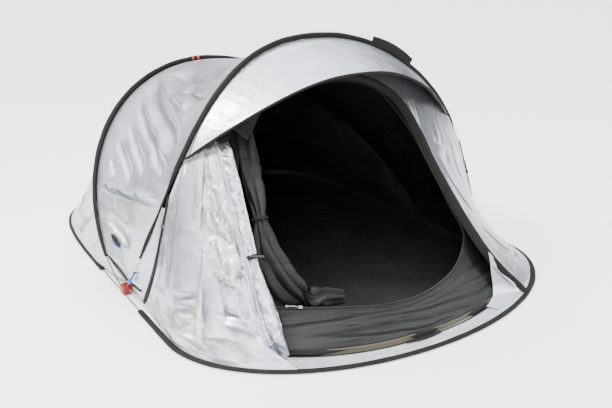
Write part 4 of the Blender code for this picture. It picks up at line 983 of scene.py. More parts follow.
FRONT_LEFT_FOLDS = [
    ([(0.316, 0.932), (0.281, 0.752), (0.293, 0.476), (0.313, 0.271)], 0.01, 0.0067, True),
    ([(0.25, 0.9), (0.23, 0.6), (0.25, 0.3)], 0.03, -0.006, False),
    ([(0.7, 0.6), (0.644, 0.459), (0.604, 0.358), (0.596, 0.23), (0.594, 0.08)], 0.006, 0.0067, True),
    ([(0.64, 0.4), (0.63, 0.23), (0.63, 0.08)], 0.01, -0.0053, False),
    ([(0.714, 0.434), (0.822, 0.394), (0.93, 0.33)], 0.018, 0.0128, True),
    ([(0.762, 0.454), (0.787, 0.303), (0.812, 0.19)], 0.022, -0.009, False),
    ([(0.759, 0.213), (0.875, 0.193), (0.985, 0.165)], 0.012, 0.0097, True),
    ([(0.7, 0.26), (0.85, 0.24), (0.985, 0.215)], 0.014, -0.0067, False),
    ([(0.787, 0.303), (0.912, 0.218), (0.985, 0.14)], 0.012, 0.009, True),
    ([(0.323, 0.321), (0.58, 0.356)], 0.013, 0.0042, False),
    ([(0.35, 0.29), (0.59, 0.325)], 0.012, -0.0037, False),
    ([(0.393, 0.263), (0.606, 0.296)], 0.012, 0.0037, False),
    ([(0.38, 0.225), (0.6, 0.255)], 0.012, -0.0037, False),
    ([(0.386, 0.188), (0.596, 0.218)], 0.012, 0.0034, False),
    ([(0.38, 0.14), (0.61, 0.16)], 0.014, -0.0034, False),
    ([(0.63, 0.16), (0.84, 0.16)], 0.012, 0.0075, True),
    ([(0.06, 0.24), (0.18, 0.13), (0.33, 0.06)], 0.014, -0.0083, False),
    ([(0.06, 0.18), (0.18, 0.085), (0.3, 0.04)], 0.012, 0.0067, False),
    ([(0.08, 0.7), (0.1, 0.45), (0.06, 0.25)], 0.02, -0.0067, False),
    ([(0.72, 0.9), (0.65, 0.76), (0.56, 0.64)], 0.012, 0.006, True),
    ([(0.83, 0.86), (0.69, 0.7), (0.64, 0.56)], 0.012, -0.006, False),
]


def front_left_relief(c):
    crinkled = np.clip(c.blob((0.86, 0.62), (0.075, 0.18)) + c.blob((0.92, 0.42), (0.06, 0.12)), 0, 1)
    low = ease((0.36 - c.v) / 0.14)
    total = (0.003 * c.crumple(0.2, 43, 1.5, 1.8, 2)
             + crinkled * (0.028 * c.facets(0.044, 45, 1.15, 1.8) + 0.006 * c.facets(0.02, 46, 0.6, 1.5))
             + low * 0.023 * c.facets(0.08, 57, 0.5, 1.5) + 0.0012 * c.facets(0.035, 48, 1.0, 1.5)
             + 0.005 * c.facets(0.13, 49, 1.35, 2.2))
    return c.inside(0.02, 0.03) * c.folds(total, FRONT_LEFT_FOLDS, 0.7)


def front_left_tint(c):
    warm = sum(strength * c.blob(centre, reach) for strength, centre, reach in (
        (0.9, (0.79, 0.6), (0.034, 0.19)), (0.9, (0.12, 0.1), (0.05, 0.06)), (0.8, (0.36, 0.18), (0.05, 0.05)),
        (0.6, (0.6, 0.22), (0.02, 0.12)), (0.9, (0.05, 0.85), (0.03, 0.1)), (0.5, (0.93, 0.55), (0.02, 0.1))))
    # Painted shadow of the hood: above this line, along the panel's top, the colour is darkened.
    line = np.interp(c.u, [0.0, 0.4, 0.55, 0.84, 1.0], [1.1, 0.97, 0.918, 0.848, 0.815])
    return np.clip(warm, 0, 1) - 0.8 * ease((c.v - line) / 0.01)


def front_right_tint(c):
    # Painted shadow of the hood: the panel's top, above this line, is darkened.
    line = np.interp(c.u, [0.0, 0.2155, 0.494, 0.62], [0.908, 0.927, 0.97, 1.02])
    return -0.45 * ease((c.v - line) / 0.014)


def roof_tint(c):
    near = np.minimum(c.u, 1 - c.u)
    warm = (0.9 * np.exp(-((near - 0.105) / 0.016) ** 2 - ((c.v - 0.33) / 0.3) ** 2)
            + 0.7 * np.exp(-((near - 0.05) / 0.03) ** 2 - ((c.v - 0.85) / 0.2) ** 2))
    holes = sum(1.2 * c.blob((side, v), (0.004, 0.012)) for u, v in EYELETS for side in (u, 1 - u))
    return np.clip(warm, 0, 1) - holes


FRONT_RIGHT_FOLDS = [
    ([(0.14, 0.9), (0.2, 0.82), (0.3, 0.78)], 0.01, 0.0046, True),
    ([(0.12, 0.86), (0.22, 0.84), (0.36, 0.85)], 0.012, -0.0039, False),
    ([(0.1, 0.8), (0.17, 0.6), (0.26, 0.4)], 0.022, 0.0059, False),
    ([(0.32, 0.9), (0.42, 0.6), (0.56, 0.35)], 0.03, -0.0065, False),
    ([(0.18, 0.38), (0.26, 0.22), (0.32, 0.09)], 0.018, 0.0059, False),
    ([(0.1, 0.26), (0.22, 0.14), (0.38, 0.08)], 0.016, -0.0059, False),
    ([(0.6, 0.9), (0.65, 0.6), (0.76, 0.3)], 0.03, 0.0065, False),
    ([(0.4, 0.3), (0.52, 0.2), (0.6, 0.08)], 0.02, -0.0065, False),
]


def front_right_relief(c):
    creased = c.blob((0.18, 0.84), (0.07, 0.07)) + c.blob((0.3, 0.1), (0.2, 0.06))
    total = (0.003 * c.crumple(0.18, 53, 1.4, 1.8, 2) + 0.005 * c.facets(0.12, 55, 1.3, 2.0)
             + 0.003 * c.crumple(0.05, 56, 1.0, 1.5) * creased)
    return c.inside(0.03, 0.05) * c.folds(total, FRONT_RIGHT_FOLDS)


HOOD_RIBS = (0.0014, 0.0005, 0.0018, 0.0, 0.0009)
HOOD_FOLDS = [([(0.3, 0.15), (0.42, 0.3), (0.55, 0.2)], 0.035, -0.004, False),
              ([(0.55, 0.6), (0.66, 0.5), (0.78, 0.6)], 0.035, -0.003, False)]


def hood_relief(c):
    total = 0.0026 * c.crumple(0.26, 63, 1.4, 2.2, 2) + 0.0005 * c.crumple(0.045, 65)
    for i in range(9):
        u = 0.085 + 0.021 * i
        rib = [(u - 0.006, 0.1), (u, 0.5), (u + 0.012, 0.95)]
        for path in (rib, [(1 - a, b) for a, b in rib]):
            total = total + c.fold(path, 0.009, HOOD_RIBS[i % 5] * (1 - 0.07 * i), 0.25)
    near_edge = ease((c.v - 0.55) / 0.35) * ease((0.62 - np.abs(c.u - 0.35)) / 0.4)
    total = total + near_edge * 0.0022 * c.facets(0.05, 66, 1.0, 2.4) + 0.0025 * c.facets(0.16, 67, 1.0, 2.0)
    return c.inside(0.03, 0.03) * c.folds(total, HOOD_FOLDS, fade=0.3)


def crumpled(size, height, seed, turn=0.0, stretch=1.0, across=0.02, down=0.02):
    """The relief of a panel with creases alone, coarse ones and fine ones."""
    return lambda c: c.inside(across, down) * (height * c.crumple(size, seed, turn, stretch)
                                               + 0.25 * height * c.crumple(size * 0.3, seed + 9))


SILL_FOLDS = [
    ([(0.47, 0.8), (0.5, 0.6), (0.535, 0.35), (0.57, 0.22)], 0.014, 0.01, False),
    ([(0.48, 0.92), (0.515, 0.72), (0.55, 0.48), (0.6, 0.3)], 0.012, -0.009, False),
    ([(0.5, 0.96), (0.54, 0.78), (0.58, 0.55), (0.63, 0.4)], 0.014, 0.009, False),
    ([(0.44, 0.5), (0.48, 0.35), (0.52, 0.2)], 0.012, -0.007, False),
    ([(0.43, 0.75), (0.47, 0.55), (0.5, 0.4)], 0.012, 0.007, False),
    ([(0.54, 0.96), (0.59, 0.8), (0.64, 0.62)], 0.012, -0.008, False),
    ([(0.56, 0.4), (0.61, 0.55), (0.66, 0.7)], 0.013, 0.007, False),
    ([(0.59, 0.2), (0.64, 0.4), (0.69, 0.6)], 0.013, -0.007, False),
    ([(0.52, 0.15), (0.56, 0.1), (0.62, 0.15)], 0.008, 0.005, False),
    ([(0.36, 0.3), (0.4, 0.5), (0.43, 0.85)], 0.02, 0.006, False),
    ([(0.7, 0.3), (0.73, 0.55), (0.75, 0.85)], 0.02, 0.006, False),
]


def inner_front_relief(c):
    total = 0.004 * c.crumple(0.26, 81, 0.5, 1.8, 2) + 0.0008 * c.crumple(0.06, 84, 0.4, 1.4)
    return c.inside(0, 0.03) * c.folds(total, SILL_FOLDS, fade=0.3)


def make_flysheet():
    def fly(name, surface, nu, nv, relief, node, held, rests_on, **more):
        panel(name, surface, nu, nv, "fly", relief, [node], lining="fly_lining", sheet=(held, rests_on), **more)

    fly("fly_roof_fabric", roof, 380, 124, roof_relief, "fly_roof", "stretched",
        ["front_arch_sleeve", "rear_arch_sleeve"], tint=roof_tint, shades=((0.034, 0.009, 0.5), (0.016, 0.003, 0.18)))
    fly("fly_rear_fabric", rear_wall, 340, 140, rear_relief, "fly_rear_wall", "stretched",
        ["rear_arch_sleeve", "base_rear_sleeve"], shades=((0.034, 0.008, 0.28),))
    fly("fly_front_left_fabric", front_left, 150, 240, front_left_relief, "fly_front_left", "stretched",
        ["front_arch_sleeve", "base_front_sleeve"], tint=front_left_tint,
        shades=((0.008, 0.0012, 0.5), (0.026, 0.004, 0.55)))
    fly("fly_front_right_fabric", front_right, 130, 220, front_right_relief, "fly_front_right", "stretched",
        ["front_arch_sleeve", "base_front_sleeve"], tint=front_right_tint, shades=((0.024, 0.006, 0.08),))
    for side, change in SIDES:
        fly("fly_gusset_" + side + "_fabric", lambda u, v: change(gusset(u, v)), 90, 24,
            crumpled(0.1, 0.004, 71, 0.4, 2.0), "fly_gusset_" + side, "stretched",
            ["front_arch_sleeve", "side_zip_" + side])
    # Painted shade: the lintel, under the hood, is darkened all over.
    fly("fly_lintel_fabric", lintel, 200, 20, crumpled(0.06, 0.005, 73, 1.2, 2.5), "fly_lintel", "hung",
        ["front_arch_sleeve"], tint=lambda c: np.full(c.u.shape, -0.38))
    fly("fly_hood_fabric", hood, 320, 84, hood_relief, "fly_hood", "stretched",
        ["front_arch_sleeve", "hood_binding"], shades=((0.012, 0.001, 0.18),))
    panel("fly_skirt_fabric", skirt, 260, 30, "fly_flat", crumpled(0.09, 0.0035, 74, 0.0, 1.5, 0.02, 0.015),
          ["fly_skirt"], away=BELOW, sheet=("laid", ["base_front_sleeve"]))
    panel("fly_skirt_corner", skirt_corner, 90, 50, "fly_flat",
          lambda c: c.inside(0.015, 0.01) * (0.006 * c.facets(0.06, 75, 0.6, 1.5)), lining="fly_lining", away=BELOW,
          sheet=("laid", ["base_front_sleeve", "door_zip_band"]))


def make_sleeves():
    def pucker(s, a):
        return 0.02 * np.sin(s * 900 + 3 * np.sin(a)) * np.cos(a * 2) + 0.03 * np.sin(s * 130 + 2 * a)

    def slack(s, a):
        """The front sleeve lies flat between two layers of the fly low down, so less of it shows."""
        low = np.interp(np.minimum(s, 1 - s), [0.068, 0.08, 0.105, 0.122, 0.15, 0.185, 0.215],
                        [-0.7, -0.55, -0.2, -0.15, -0.62, -0.5, 0.0])
        return pucker(s, a) + low

    def tapered(s, a):
        return pucker(s, a) - 0.34 * ease((0.3 - np.minimum(s, 1 - s)) / 0.18)

    lines = {"front_arch": front_arch, "rear_arch": rear_arch, "base_front": hoop_front, "base_rear": hoop_rear}
    flat = BASE_HALF_HEIGHT / SLEEVE_RADIUS

    def sleeve(name, start, fill, wobble, squash_z=None):
        tube(name + "_sleeve_fabric", lines[name], np.linspace(start, 1 - start, 420), SLEEVE_RADIUS * fill, "sleeve",
             wobble=wobble, squash_z=squash_z, replaced=[name + "_sleeve"])

    sleeve("front_arch", 0.068, 0.98, slack)
    sleeve("rear_arch", 0.055, 0.98, tapered)
    for side, ends in (("left", (0.026, 0.08)), ("right", (0.92, 0.974))):
        tube("fly_corner_" + side + "_hem", front_arch, np.linspace(*ends, 60), 0.0085, "fly", 16,
             wobble=lambda s, a: 0.1 * np.sin(s * 700 + a) + 0.06 * np.sin(3 * a))
    sleeve("base_front", 0.06, 0.97, pucker, flat)
    sleeve("base_rear", 0.072, 0.97, pucker, flat)
    for name, line in lines.items():
        end = 0.013 / line.length
        tube(name + "_rod_smooth", line, np.linspace(end, 1 - end, 160), ROD_RADIUS, "rod", 12,
             replaced=[name + "_rod"], hollow=False)
    share = np.linspace(0.236, 0.764, 300)
    edge = hood_line(share) - RIGHT * col(HOOD_TRIM * ease((share - 0.66) / 0.05))
    ends = [front_arch.at(s) + np.array([0.0, -0.012, 0.0]) for s in (0.2265, 0.7735)]
    binding = Line(np.vstack([ends[:1], edge, ends[1:]]))
    tube("hood_binding_tape", binding, np.linspace(0, 1, 260), 0.0056, "sleeve", 12, replaced=["hood_binding"],
         hollow=False)


# Zips


TEETH_WIDTH = 0.0035


def teeth(name, point, side, facing, count):
    """Two rows of interlocking teeth along a zip: small bevelled blocks, set off by half a pitch."""
    shares = (np.arange(count) + 0.5) / count
    points, faces = [], []
    centre, across, out = point(shares), side(shares), facing(shares)
    along = unit(np.gradient(centre, axis=0))
    pitch = np.linalg.norm(centre[1] - centre[0])
    for row in (-1, 1):
        for k in range(count):
            base = len(points)
            middle = centre[k] + along[k] * pitch * 0.25 * row + across[k] * row * TEETH_WIDTH * 0.25
            for lift, size in ((0.0, 1.0), (0.0011, 1.0), (0.0016, 0.6)):
                for a, b in ((-1, -1), (1, -1), (1, 1), (-1, 1)):
                    points.append(middle + along[k] * a * pitch * 0.21 * size
                                  + across[k] * b * TEETH_WIDTH * 0.42 * size + out[k] * lift)
            faces += [[base, base + 3, base + 2, base + 1], [base + 8, base + 9, base + 10, base + 11]]
            for low in (base, base + 4):
                faces += [[low + j, low + (j + 1) % 4, low + (j + 1) % 4 + 4, low + j + 4] for j in range(4)]
    return place_piece(mesh_object(name, points, faces, "teeth", smooth_faces=False), "sleeve")


def make_zips():
    for side, change in SIDES:
        def tape(u, v):
            wide = np.interp(u, [0.0, 0.45, 0.7, 0.9, 1.0], [0.011, 0.013, 0.021, 0.026, 0.018])
            roll = 0.004 * arc(v) * ease((u - 0.5) / 0.3)
            return change(side_zip.at(u) + zip_side(u) * col(wide * (v - 0.62)) + ZIP_FACING * col(0.003 + roll))

        panel("side_zip_" + side + "_tape", tape, 120, 12, "sleeve", lambda c: 0.0012 * c.crumple(0.03, 97) * c.v,
              ["side_zip_" + side], THICK_TAPE)
        teeth("side_zip_" + side + "_teeth", lambda t: change(side_zip.at(t) + ZIP_FACING * 0.0042),
              lambda t: change(zip_side(t)), lambda t: change(np.broadcast_to(ZIP_FACING, (len(t), 3))), 120)
    offsets, lifts = [-0.021, -0.013, -0.005, 0.004, 0.013], [-0.018, -0.01, -0.001, 0.0032, 0.0024]

    def band_edge(u, offset=0.0, lift=0.0):
        return door_edge(band_place(BAND_STEPS * u), offset, lift)

    def band(u, v):
        wide = np.interp(u, [0.0, 0.02, 0.05, 0.86, 0.93], [2.6, 2.2, 0.85, 0.8, 0.66])
        place = band_edge(u, np.interp(4 * v, range(5), offsets) * wide, np.interp(4 * v, range(5), lifts))
        foot = hoop_front.at(0.676 + 0.012 * (v - 0.5)) + UP * 0.004
        return lerp(place, foot, 0.85 * ease((u - 0.965) / 0.035))

    panel("door_zip_band_tape", band, 300, 16, "sleeve", None, ["door_zip_band"], TAPE)
    teeth("door_zip_band_teeth", lambda t: band_edge(t, -0.0225, -0.0195),
          lambda t: unit(band_edge(t, 0.001) - band_edge(t, -0.001)),
          lambda t: unit(band_edge(t, 0, 0.001) - band_edge(t)), 560)

    def skirt_place(u, v):
        return skirt_inner(span(*SKIRT_INNER, u), 0.0015 + 0.01 * v)

    panel("skirt_zip_tape", skirt_place, 220, 6, "sleeve", None, ["skirt_zip"], TAPE, away=BELOW)
    teeth("skirt_zip_teeth", lambda t: skirt_place(t, 0.5) + UP * 0.0006,
          lambda t: unit(skirt_place(t, 1.0) - skirt_place(t, 0.0)), lambda t: np.tile(UP, (len(t), 1)), 420)

    def zip_strip(u, v):
        return inner_zip_point((3 + 24 * u) / INNER_ZIP_STEPS, 0.00225 + 0.01 * v)

    panel("inner_zip_tape", zip_strip, 300, 6, "sleeve", None, ["inner_zip"])
    probe = np.linspace(0, 1, 700)
    facing = unit(np.cross(np.gradient(zip_strip(probe, 0.5), axis=0), zip_strip(probe, 1.0) - zip_strip(probe, 0.0)))
    facing = facing * np.where(facing[:, 1:2] > 0, -1, 1)
    teeth("inner_zip_teeth", lambda t: zip_strip(t, 0.5) + facing * 0.0006,
          lambda t: unit(zip_strip(t, 1.0) - zip_strip(t, 0.0)), lambda t: facing, len(probe))


# The tied-back doors


ROLL_SIDE = np.array([0.78, -0.62, 0.0])


def roll_axes(line, shares):
    """The way along a door's roll, and two directions across it."""
    along = line.along(shares, 0.02)
    across = square_to(ROLL_SIDE, along)
    return along, across, np.cross(across, along)


def gather(name, line, sections, slot, steps, roll, relief, tied_by, replaced, root=None, lining=None, body="tent"):
    """A door's cloth, rolled up loosely along a line; where root is given, the cloth starts from that edge. Roll gives
    its turns, the lobes of its outline, their depth and a seed. Relief gives the creases' height, size, turn and
    stretch, and the share of flat facets."""
    turns, lobes, depth, seed = roll
    rise, size, turn, stretch, foil = relief
    shares, t = (np.linspace(0, 1, count + 1) for count in steps)
    across, back = roll_axes(line, shares)[1:]
    table = np.asarray(sections)
    width, deep = (np.interp(shares, table[:, 0], table[:, k])[:, None] for k in (1, 2))
    start = 0.34 if root else 0.0
    wound = np.clip((t - start) / (1 - start), 0, 1)
    s, phi = np.meshgrid(shares, math.pi * 0.8 - wound * 2 * math.pi * turns, indexing="ij")
    twist = seed + 1.2 * s + 0.9 * np.sin(4 * s + seed)
    lobe = 1 + depth * np.cos(lobes * phi + twist * 2) + 0.45 * depth * np.cos((lobes + 2) * phi - 2.6 * twist)
    radius = (1 - 0.62 * wound[None, :] ** 1.2) * lobe / (1 + depth * 1.45)
    centre = line.at(shares)
    points = (centre[:, None, :] + across[:, None, :] * col(width * radius * np.cos(phi))
              - back[:, None, :] * col(deep * radius * np.sin(phi)))
    if root:
        edge, first = root(shares), int(round(start * steps[1]))
        joined = points[:, first].copy()
        for k in range(first):
            share = ease(k / first)
            bulge = 0.012 * arc(share) * arc(shares)
            points[:, k] = edge * (1 - share) + joined * share - back * col(bulge)
    normals = normals_of(points)
    outward = np.sign(np.mean(dot(normals, points - centre[:, None, :]))) or 1.0
    x, y = s * line.length, np.broadcast_to(t * (0.46 if root else 0.1), s.shape)
    ends = ease(s / 0.05) * ease((1 - s) / 0.04) * ease(t / 0.05)[None, :]
    if root:
        ends = ends * (1 - 0.9 * np.exp(-(np.sin(phi) / 0.45) ** 2) * (np.cos(phi) > 0))
    creases = crumple(x, y, size, seed + 5, turn, stretch, 2) + foil * facets(x, y, size * 0.9, seed + 8, 0.25, 2.2)
    points = points + normals * outward * col(rise * ends * creases)
    # Painted shadow of the hood: the first twentieth of the roll's length is darkened; the inner door's material
    # doesn't read this.
    made = mesh_object(name, points, grid_faces(*steps), slot, uv=np.stack([x, y], -1),
                       values={"tint": -0.62 * ease((0.05 - s) / 0.012)})
    thicken(made, DOOR_FABRIC, 0.0, lining)
    declare_sheet(made, points, line.length, "gathered", [tied_by])
    return place_piece(made, slot, replaced, body)


def band_round(name, line, share, half_width, half_depth, width, replaced, body):
    """A strap round a gathered door."""
    along, across, out = (way[0] for way in roll_axes(line, one(share)))
    centre = line.at(one(share))[0]

    def surface(u, v):
        angle = 2 * np.pi * u
        rim = across * col(np.cos(angle) * half_width) + out * col(np.sin(angle) * half_depth)
        return centre + rim + unit(rim) * 0.0008 + along * col((v - 0.5) * width)

    panel(name, surface, 96, 10, "sleeve", lambda c: 0.0006 * np.sin(c.u * 90) * c.inside(0, 0.003), replaced, 0.0013,
          wrap_u=True, body=body, away=centre)


FLY_DOOR_LINE = Line([(-0.572, -0.425, 0.73), (-0.611, -0.66, 0.45), (-0.624, -0.75, 0.345),
                      (-0.64, -0.967, 0.085)])
FLY_DOOR_SECTIONS = [(0.0, 0.024, 0.006), (0.04, 0.03, 0.011), (0.2, 0.032, 0.014), (0.38, 0.03, 0.015),
                     (0.53, 0.024, 0.014), (0.6, 0.017, 0.012), (0.66, 0.023, 0.014), (0.75, 0.034, 0.016),
                     (0.86, 0.037, 0.017), (0.94, 0.034, 0.014), (1.0, 0.026, 0.006)]
INNER_DOOR_LINE = smooth([(-0.455, -0.372, 0.8), (-0.47, -0.43, 0.7), (-0.492, -0.51, 0.59),
                          (-0.525, -0.632, 0.455), (-0.545, -0.72, 0.34), (-0.525, -0.8, 0.24),
                          (-0.466, -0.856, 0.178), (-0.385, -0.896, 0.176), (-0.305, -0.921, 0.166)], 140)
INNER_DOOR_SECTIONS = [(0.0, 0.062, 0.012), (0.08, 0.06, 0.02), (0.24, 0.062, 0.026), (0.38, 0.05, 0.025),
                       (0.45, 0.032, 0.022), (0.54, 0.06, 0.03), (0.66, 0.088, 0.038), (0.8, 0.092, 0.046),
                       (0.92, 0.062, 0.05), (1.0, 0.045, 0.034)]


FLY_TIE, INNER_TIE = 0.6, 0.45


def make_doors():
    seam = Line([SEAM_HEAD, SEAM_KNEE, [-0.676, -1.0, 0.022]])
    hem = Line([*FLY_DOOR_LINE.points, [-0.62, -0.986, 0.02]])
    gather("fly_door_fabric", hem, FLY_DOOR_SECTIONS, "fly", (230, 190), (1.7, 2, 0.12, 3),
           (0.005, 0.055, 1.0, 2.0, 4.5), "door_tie_strap", ["fly_door"], seam.at, "fly_lining", "fly_door")
    gather("inner_door_fabric", INNER_DOOR_LINE, INNER_DOOR_SECTIONS, "inner_dark", (220, 150), (1.6, 5, 0.26, 11),
           (0.01, 0.06, 0.15, 4.5, 0.5), "inner_tie_strap", ["inner_door"])
    band_round("door_tie_webbing", FLY_DOOR_LINE, FLY_TIE, 0.0262, 0.0202, 0.018, ["door_tie_strap"], "fly_door")
    band_round("inner_tie_webbing", INNER_DOOR_LINE, INNER_TIE, 0.035, 0.029, 0.014, ["inner_tie_strap"], "tent")


# The inner tent


def make_inner():
    panel("inner_front_fabric", inner_front, 560, 60, "inner", inner_front_relief, ["inner_front_wall"], INNER_FABRIC,
          wrap_u=True, sheet=("hung", ["fly_lintel"]))
    for name, surface, seed, node, above in (("inner_roof_fabric", inner_roof, 82, "inner_roof", "fly_roof"),
                                             ("inner_rear_fabric", inner_rear, 83, "inner_rear_wall", "fly_rear_wall")):
        panel(name, surface, 220, 90, "inner", crumpled(0.25, 0.01, seed), [node], INNER_FABRIC,
              sheet=("hung", [above]))


def make_groundsheet():
    """A tray of woven sheet: slightly rumpled on the ground, with a lip turned up at its edge."""
    middle = np.array([0.0, 0.1, 0.0])

    def surface(u, v):
        share = np.where(u < 0.5, 2 * u, 2 - 2 * u)
        edge = np.where(col(u) < 0.5, floor_front.at(share), floor_rear.at(share))
        edge[..., 2] = 0.0
        reach = np.clip(v / 0.9, 0, 1)
        rise = np.clip((v - 0.9) / 0.1, 0, 1)
        point = middle + (edge - middle) * col(reach) + unit(edge - middle) * col(0.003 * rise)
        x, y = point[..., 0], point[..., 1]
        rumple = 0.0045 * (0.4 + crumple(x, y, 0.22, 91)) + 0.0012 * (0.4 + crumple(x, y, 0.06, 92))
        flat = ease((0.97 - reach) / 0.08)
        point[..., 2] = 0.001 + rumple * flat + 0.0265 * rise
        return point

    panel("groundsheet_tray", surface, 320, 90, "groundsheet", None, ["groundsheet"], lining="floor_inside",
          wrap_u=True, away=middle + UP, sheet=("laid", []))


# Small parts


def frame_at(origin, along, outward):
    """A function that gives the place at so far along, across and outward from an origin."""
    x = unit(np.asarray(along, float))
    y = unit(np.cross(outward, x))
    z = np.cross(x, y)
    return lambda a, b, c: np.asarray(origin) + x * col(a) + y * col(b) + z * col(c)


def turned(name, place, profile, slot, change=np.array, sides=20, replaced=(), body="tent"):
    """A turned piece about the local x axis, from (x, radius) pairs."""
    table = np.asarray(profile, float)
    x, a = np.meshgrid(table[:, 0], 2 * np.pi * np.arange(sides) / sides, indexing="ij")
    r = np.broadcast_to(table[:, 1:2], x.shape)
    points = change(place(x, r * np.cos(a), r * np.sin(a)))
    faces = list(grid_faces(len(table) - 1, sides, wrap_v=True))
    faces += [np.arange(sides)[::-1], np.arange(sides) + (len(table) - 1) * sides]
    if change is mirrored:
        faces = [f[::-1] for f in faces]
    return place_piece(mesh_object(name, points, faces, slot, uv=np.stack([x, a * 0.003], -1)), slot, replaced, body)


def rounded(profile):
    """The same profile with three times as many points, eased between its corners."""
    line = smooth([(a, b, 0.0) for a, b in profile], (len(profile) - 1) * 3 + 1)
    return [(p[0], max(p[1], 0.0002)) for p in line.points]


HEM_START, HEM_END = (0.004, 0.02), (0.09, 0.66)


def hem_webbing(u, v):
    """A flat ribbon laid on the gusset, between two of its (u, v) places."""
    a, b = (span(start, end, u) for start, end in zip(HEM_START, HEM_END))
    here = gusset(a, b)
    normal = unit(np.cross(gusset(a + 0.01, b) - here, gusset(a, b + 0.01) - here))
    normal = normal * np.where(normal[..., :1] > 0, -1, 1)
    along = unit(gusset(*map(one, HEM_END)) - gusset(*map(one, HEM_START)))
    return here + normal * 0.0042 + unit(np.cross(along, normal)) * col(0.01 * (v - 0.5))


def knot(name, centre, size, body):
    """A small tied knot: a ball with three turns of cord round it."""
    angle = np.linspace(0, 2 * np.pi * 3, 97)
    lat = 0.9 * np.sin(angle / 3 + 0.4)
    path = np.stack([np.cos(angle) * np.cos(lat), np.sin(angle) * np.cos(lat), np.sin(lat)], -1) * size + centre
    return tube(name, Line(path), np.linspace(0, 1, 120), size * 0.62, "cord", 10, hint=(0.3, 0.2, 1.0), hollow=False,
                body=body)


SLIDER_DOWN, SLIDER_LIFT, CORNER_LOW = 0.128, 0.0071, np.array([-0.93, -0.1285, 0.026])


def make_side_parts():
    along = unit(ZIP_KNEE - ZIP_HEAD)
    face = square_to(ZIP_FACING, along)
    slider = ZIP_HEAD + along * SLIDER_DOWN + face * SLIDER_LIFT
    pull = rounded([(-0.0016, 0.001), (0.0, 0.0016), (0.01, 0.0015), (0.048, 0.0014), (0.05, 0.0034),
                    (0.053, 0.0042), (0.058, 0.0039), (0.064, 0.0042), (0.067, 0.0028)])
    eyelet = [(-0.003, 0.003), (-0.0008, 0.0075), (0.0008, 0.0082), (0.002, 0.0072), (0.0016, 0.0044),
              (-0.001, 0.0034)]
    for side, change in SIDES:
        turned("zip_pull_" + side + "_cord", frame_at(slider, along, face), pull, "black_cord", change, 16,
               ["zip_pull_" + side], "zip_pull_" + side)
        panel("hem_webbing_" + side + "_tape", lambda u, v: change(hem_webbing(u, v)), 40, 6, "sleeve", None,
              ["hem_webbing_" + side], THICK_TAPE)

        def on_roof(u, v):
            spot, out = on_fabric("fly_roof_fabric", one(u if side == "left" else 1 - u), one(v))
            return spot[0], out[0]

        (first, first_out), (last, last_out) = on_roof(0.0439, 0.772), on_roof(0.0311, 0.594)
        run, out = last - first, unit(first_out + last_out)
        down = unit(np.cross(run, out))
        down = down if down[2] < 0 else -down
        for half, slot, low, high, lift, shift, replaced in (
                ("blue", "blue_plastic", -0.01, 0.016, 0.0035, 0.06, ["side_tab_" + side]),
                ("black", "sleeve", -0.016, 0.006, 0.0055, 0.0, [])):
            def tab(u, v):
                belly = 0.04 + 0.96 * arc(np.clip(u, 0, 1)) ** 0.6
                base = first + run * col(u * 0.94 + shift * v) + out * col(0.004 * arc(u))
                return base + out * lift + down * col(span(low, high, v) * belly)

            panel("side_tab_" + side + "_" + half, tab, 40, 10, slot, None, replaced, TAPE)
        v = np.linspace(0.04, 0.925, 60)
        edge = roof(np.zeros(60), v)
        down = unit(edge - roof(np.full(60, 0.02), v))
        tube("hem_binding_" + side + "_tape", Line(change(edge + down * 0.006)), np.linspace(0, 1, 120), 0.0038,
             "sleeve", 12, hollow=False, replaced=["hem_binding_" + side])
        end = gusset(one(0.02), one(0.94))[0] + np.array([-0.008, 0.0, -0.004])
        elastic = Line(change(np.array([CORNER_LOW, end])))
        tube("corner_elastic_" + side + "_cord", elastic, np.linspace(0, 1, 24), 0.0014, "cord", 10, hollow=False,
             replaced=["corner_elastic_" + side])
        for number, place in enumerate(EYELETS, 1):
            spot, out = on_roof(*place)
            turned("eyelet_" + side + "_" + str(number), frame_at(spot + out * 0.0035, out, run), eyelet,
                   "black_plastic")


def make_handle_and_marks():
    def handle(u, v):
        share = span(0.5955, 0.665, u)
        axis, along = front_arch.at(share), front_arch.along(share, 0.01)
        out = square_to(axis - HEART, along)
        bow = SLEEVE_RADIUS + 0.0045 + 0.009 * arc(u) ** 0.7
        across = 0.85 * out - 0.55 * np.cross(along, out)
        return axis + out * col(bow - 0.002 * (2 * v - 1) ** 2) + across * col(0.04 * (0.5 - v))

    panel("carry_handle_strap", handle, 90, 20, "sleeve", crumpled(0.03, 0.0006, 95), ["carry_handle"], STRAP)
    for number, share in enumerate((0.4862, 0.4955), 1):
        place, along = rear_arch.at(share), rear_arch.along(share, 0.005)
        out = square_to(place - HEART, along)
        side = np.cross(along, out)

        def mark(u, v):
            angle = math.radians(320) * (u - 0.5)
            way = out * col(np.cos(angle)) + side * col(np.sin(angle))
            return place + way * 0.0142 + along * col(0.014 * (v - 0.5))

        panel("fold_mark_" + str(number) + "_tape", mark, 30, 6, "red_tape", None, ["fold_mark_" + str(number)],
              0.0007, away=place)


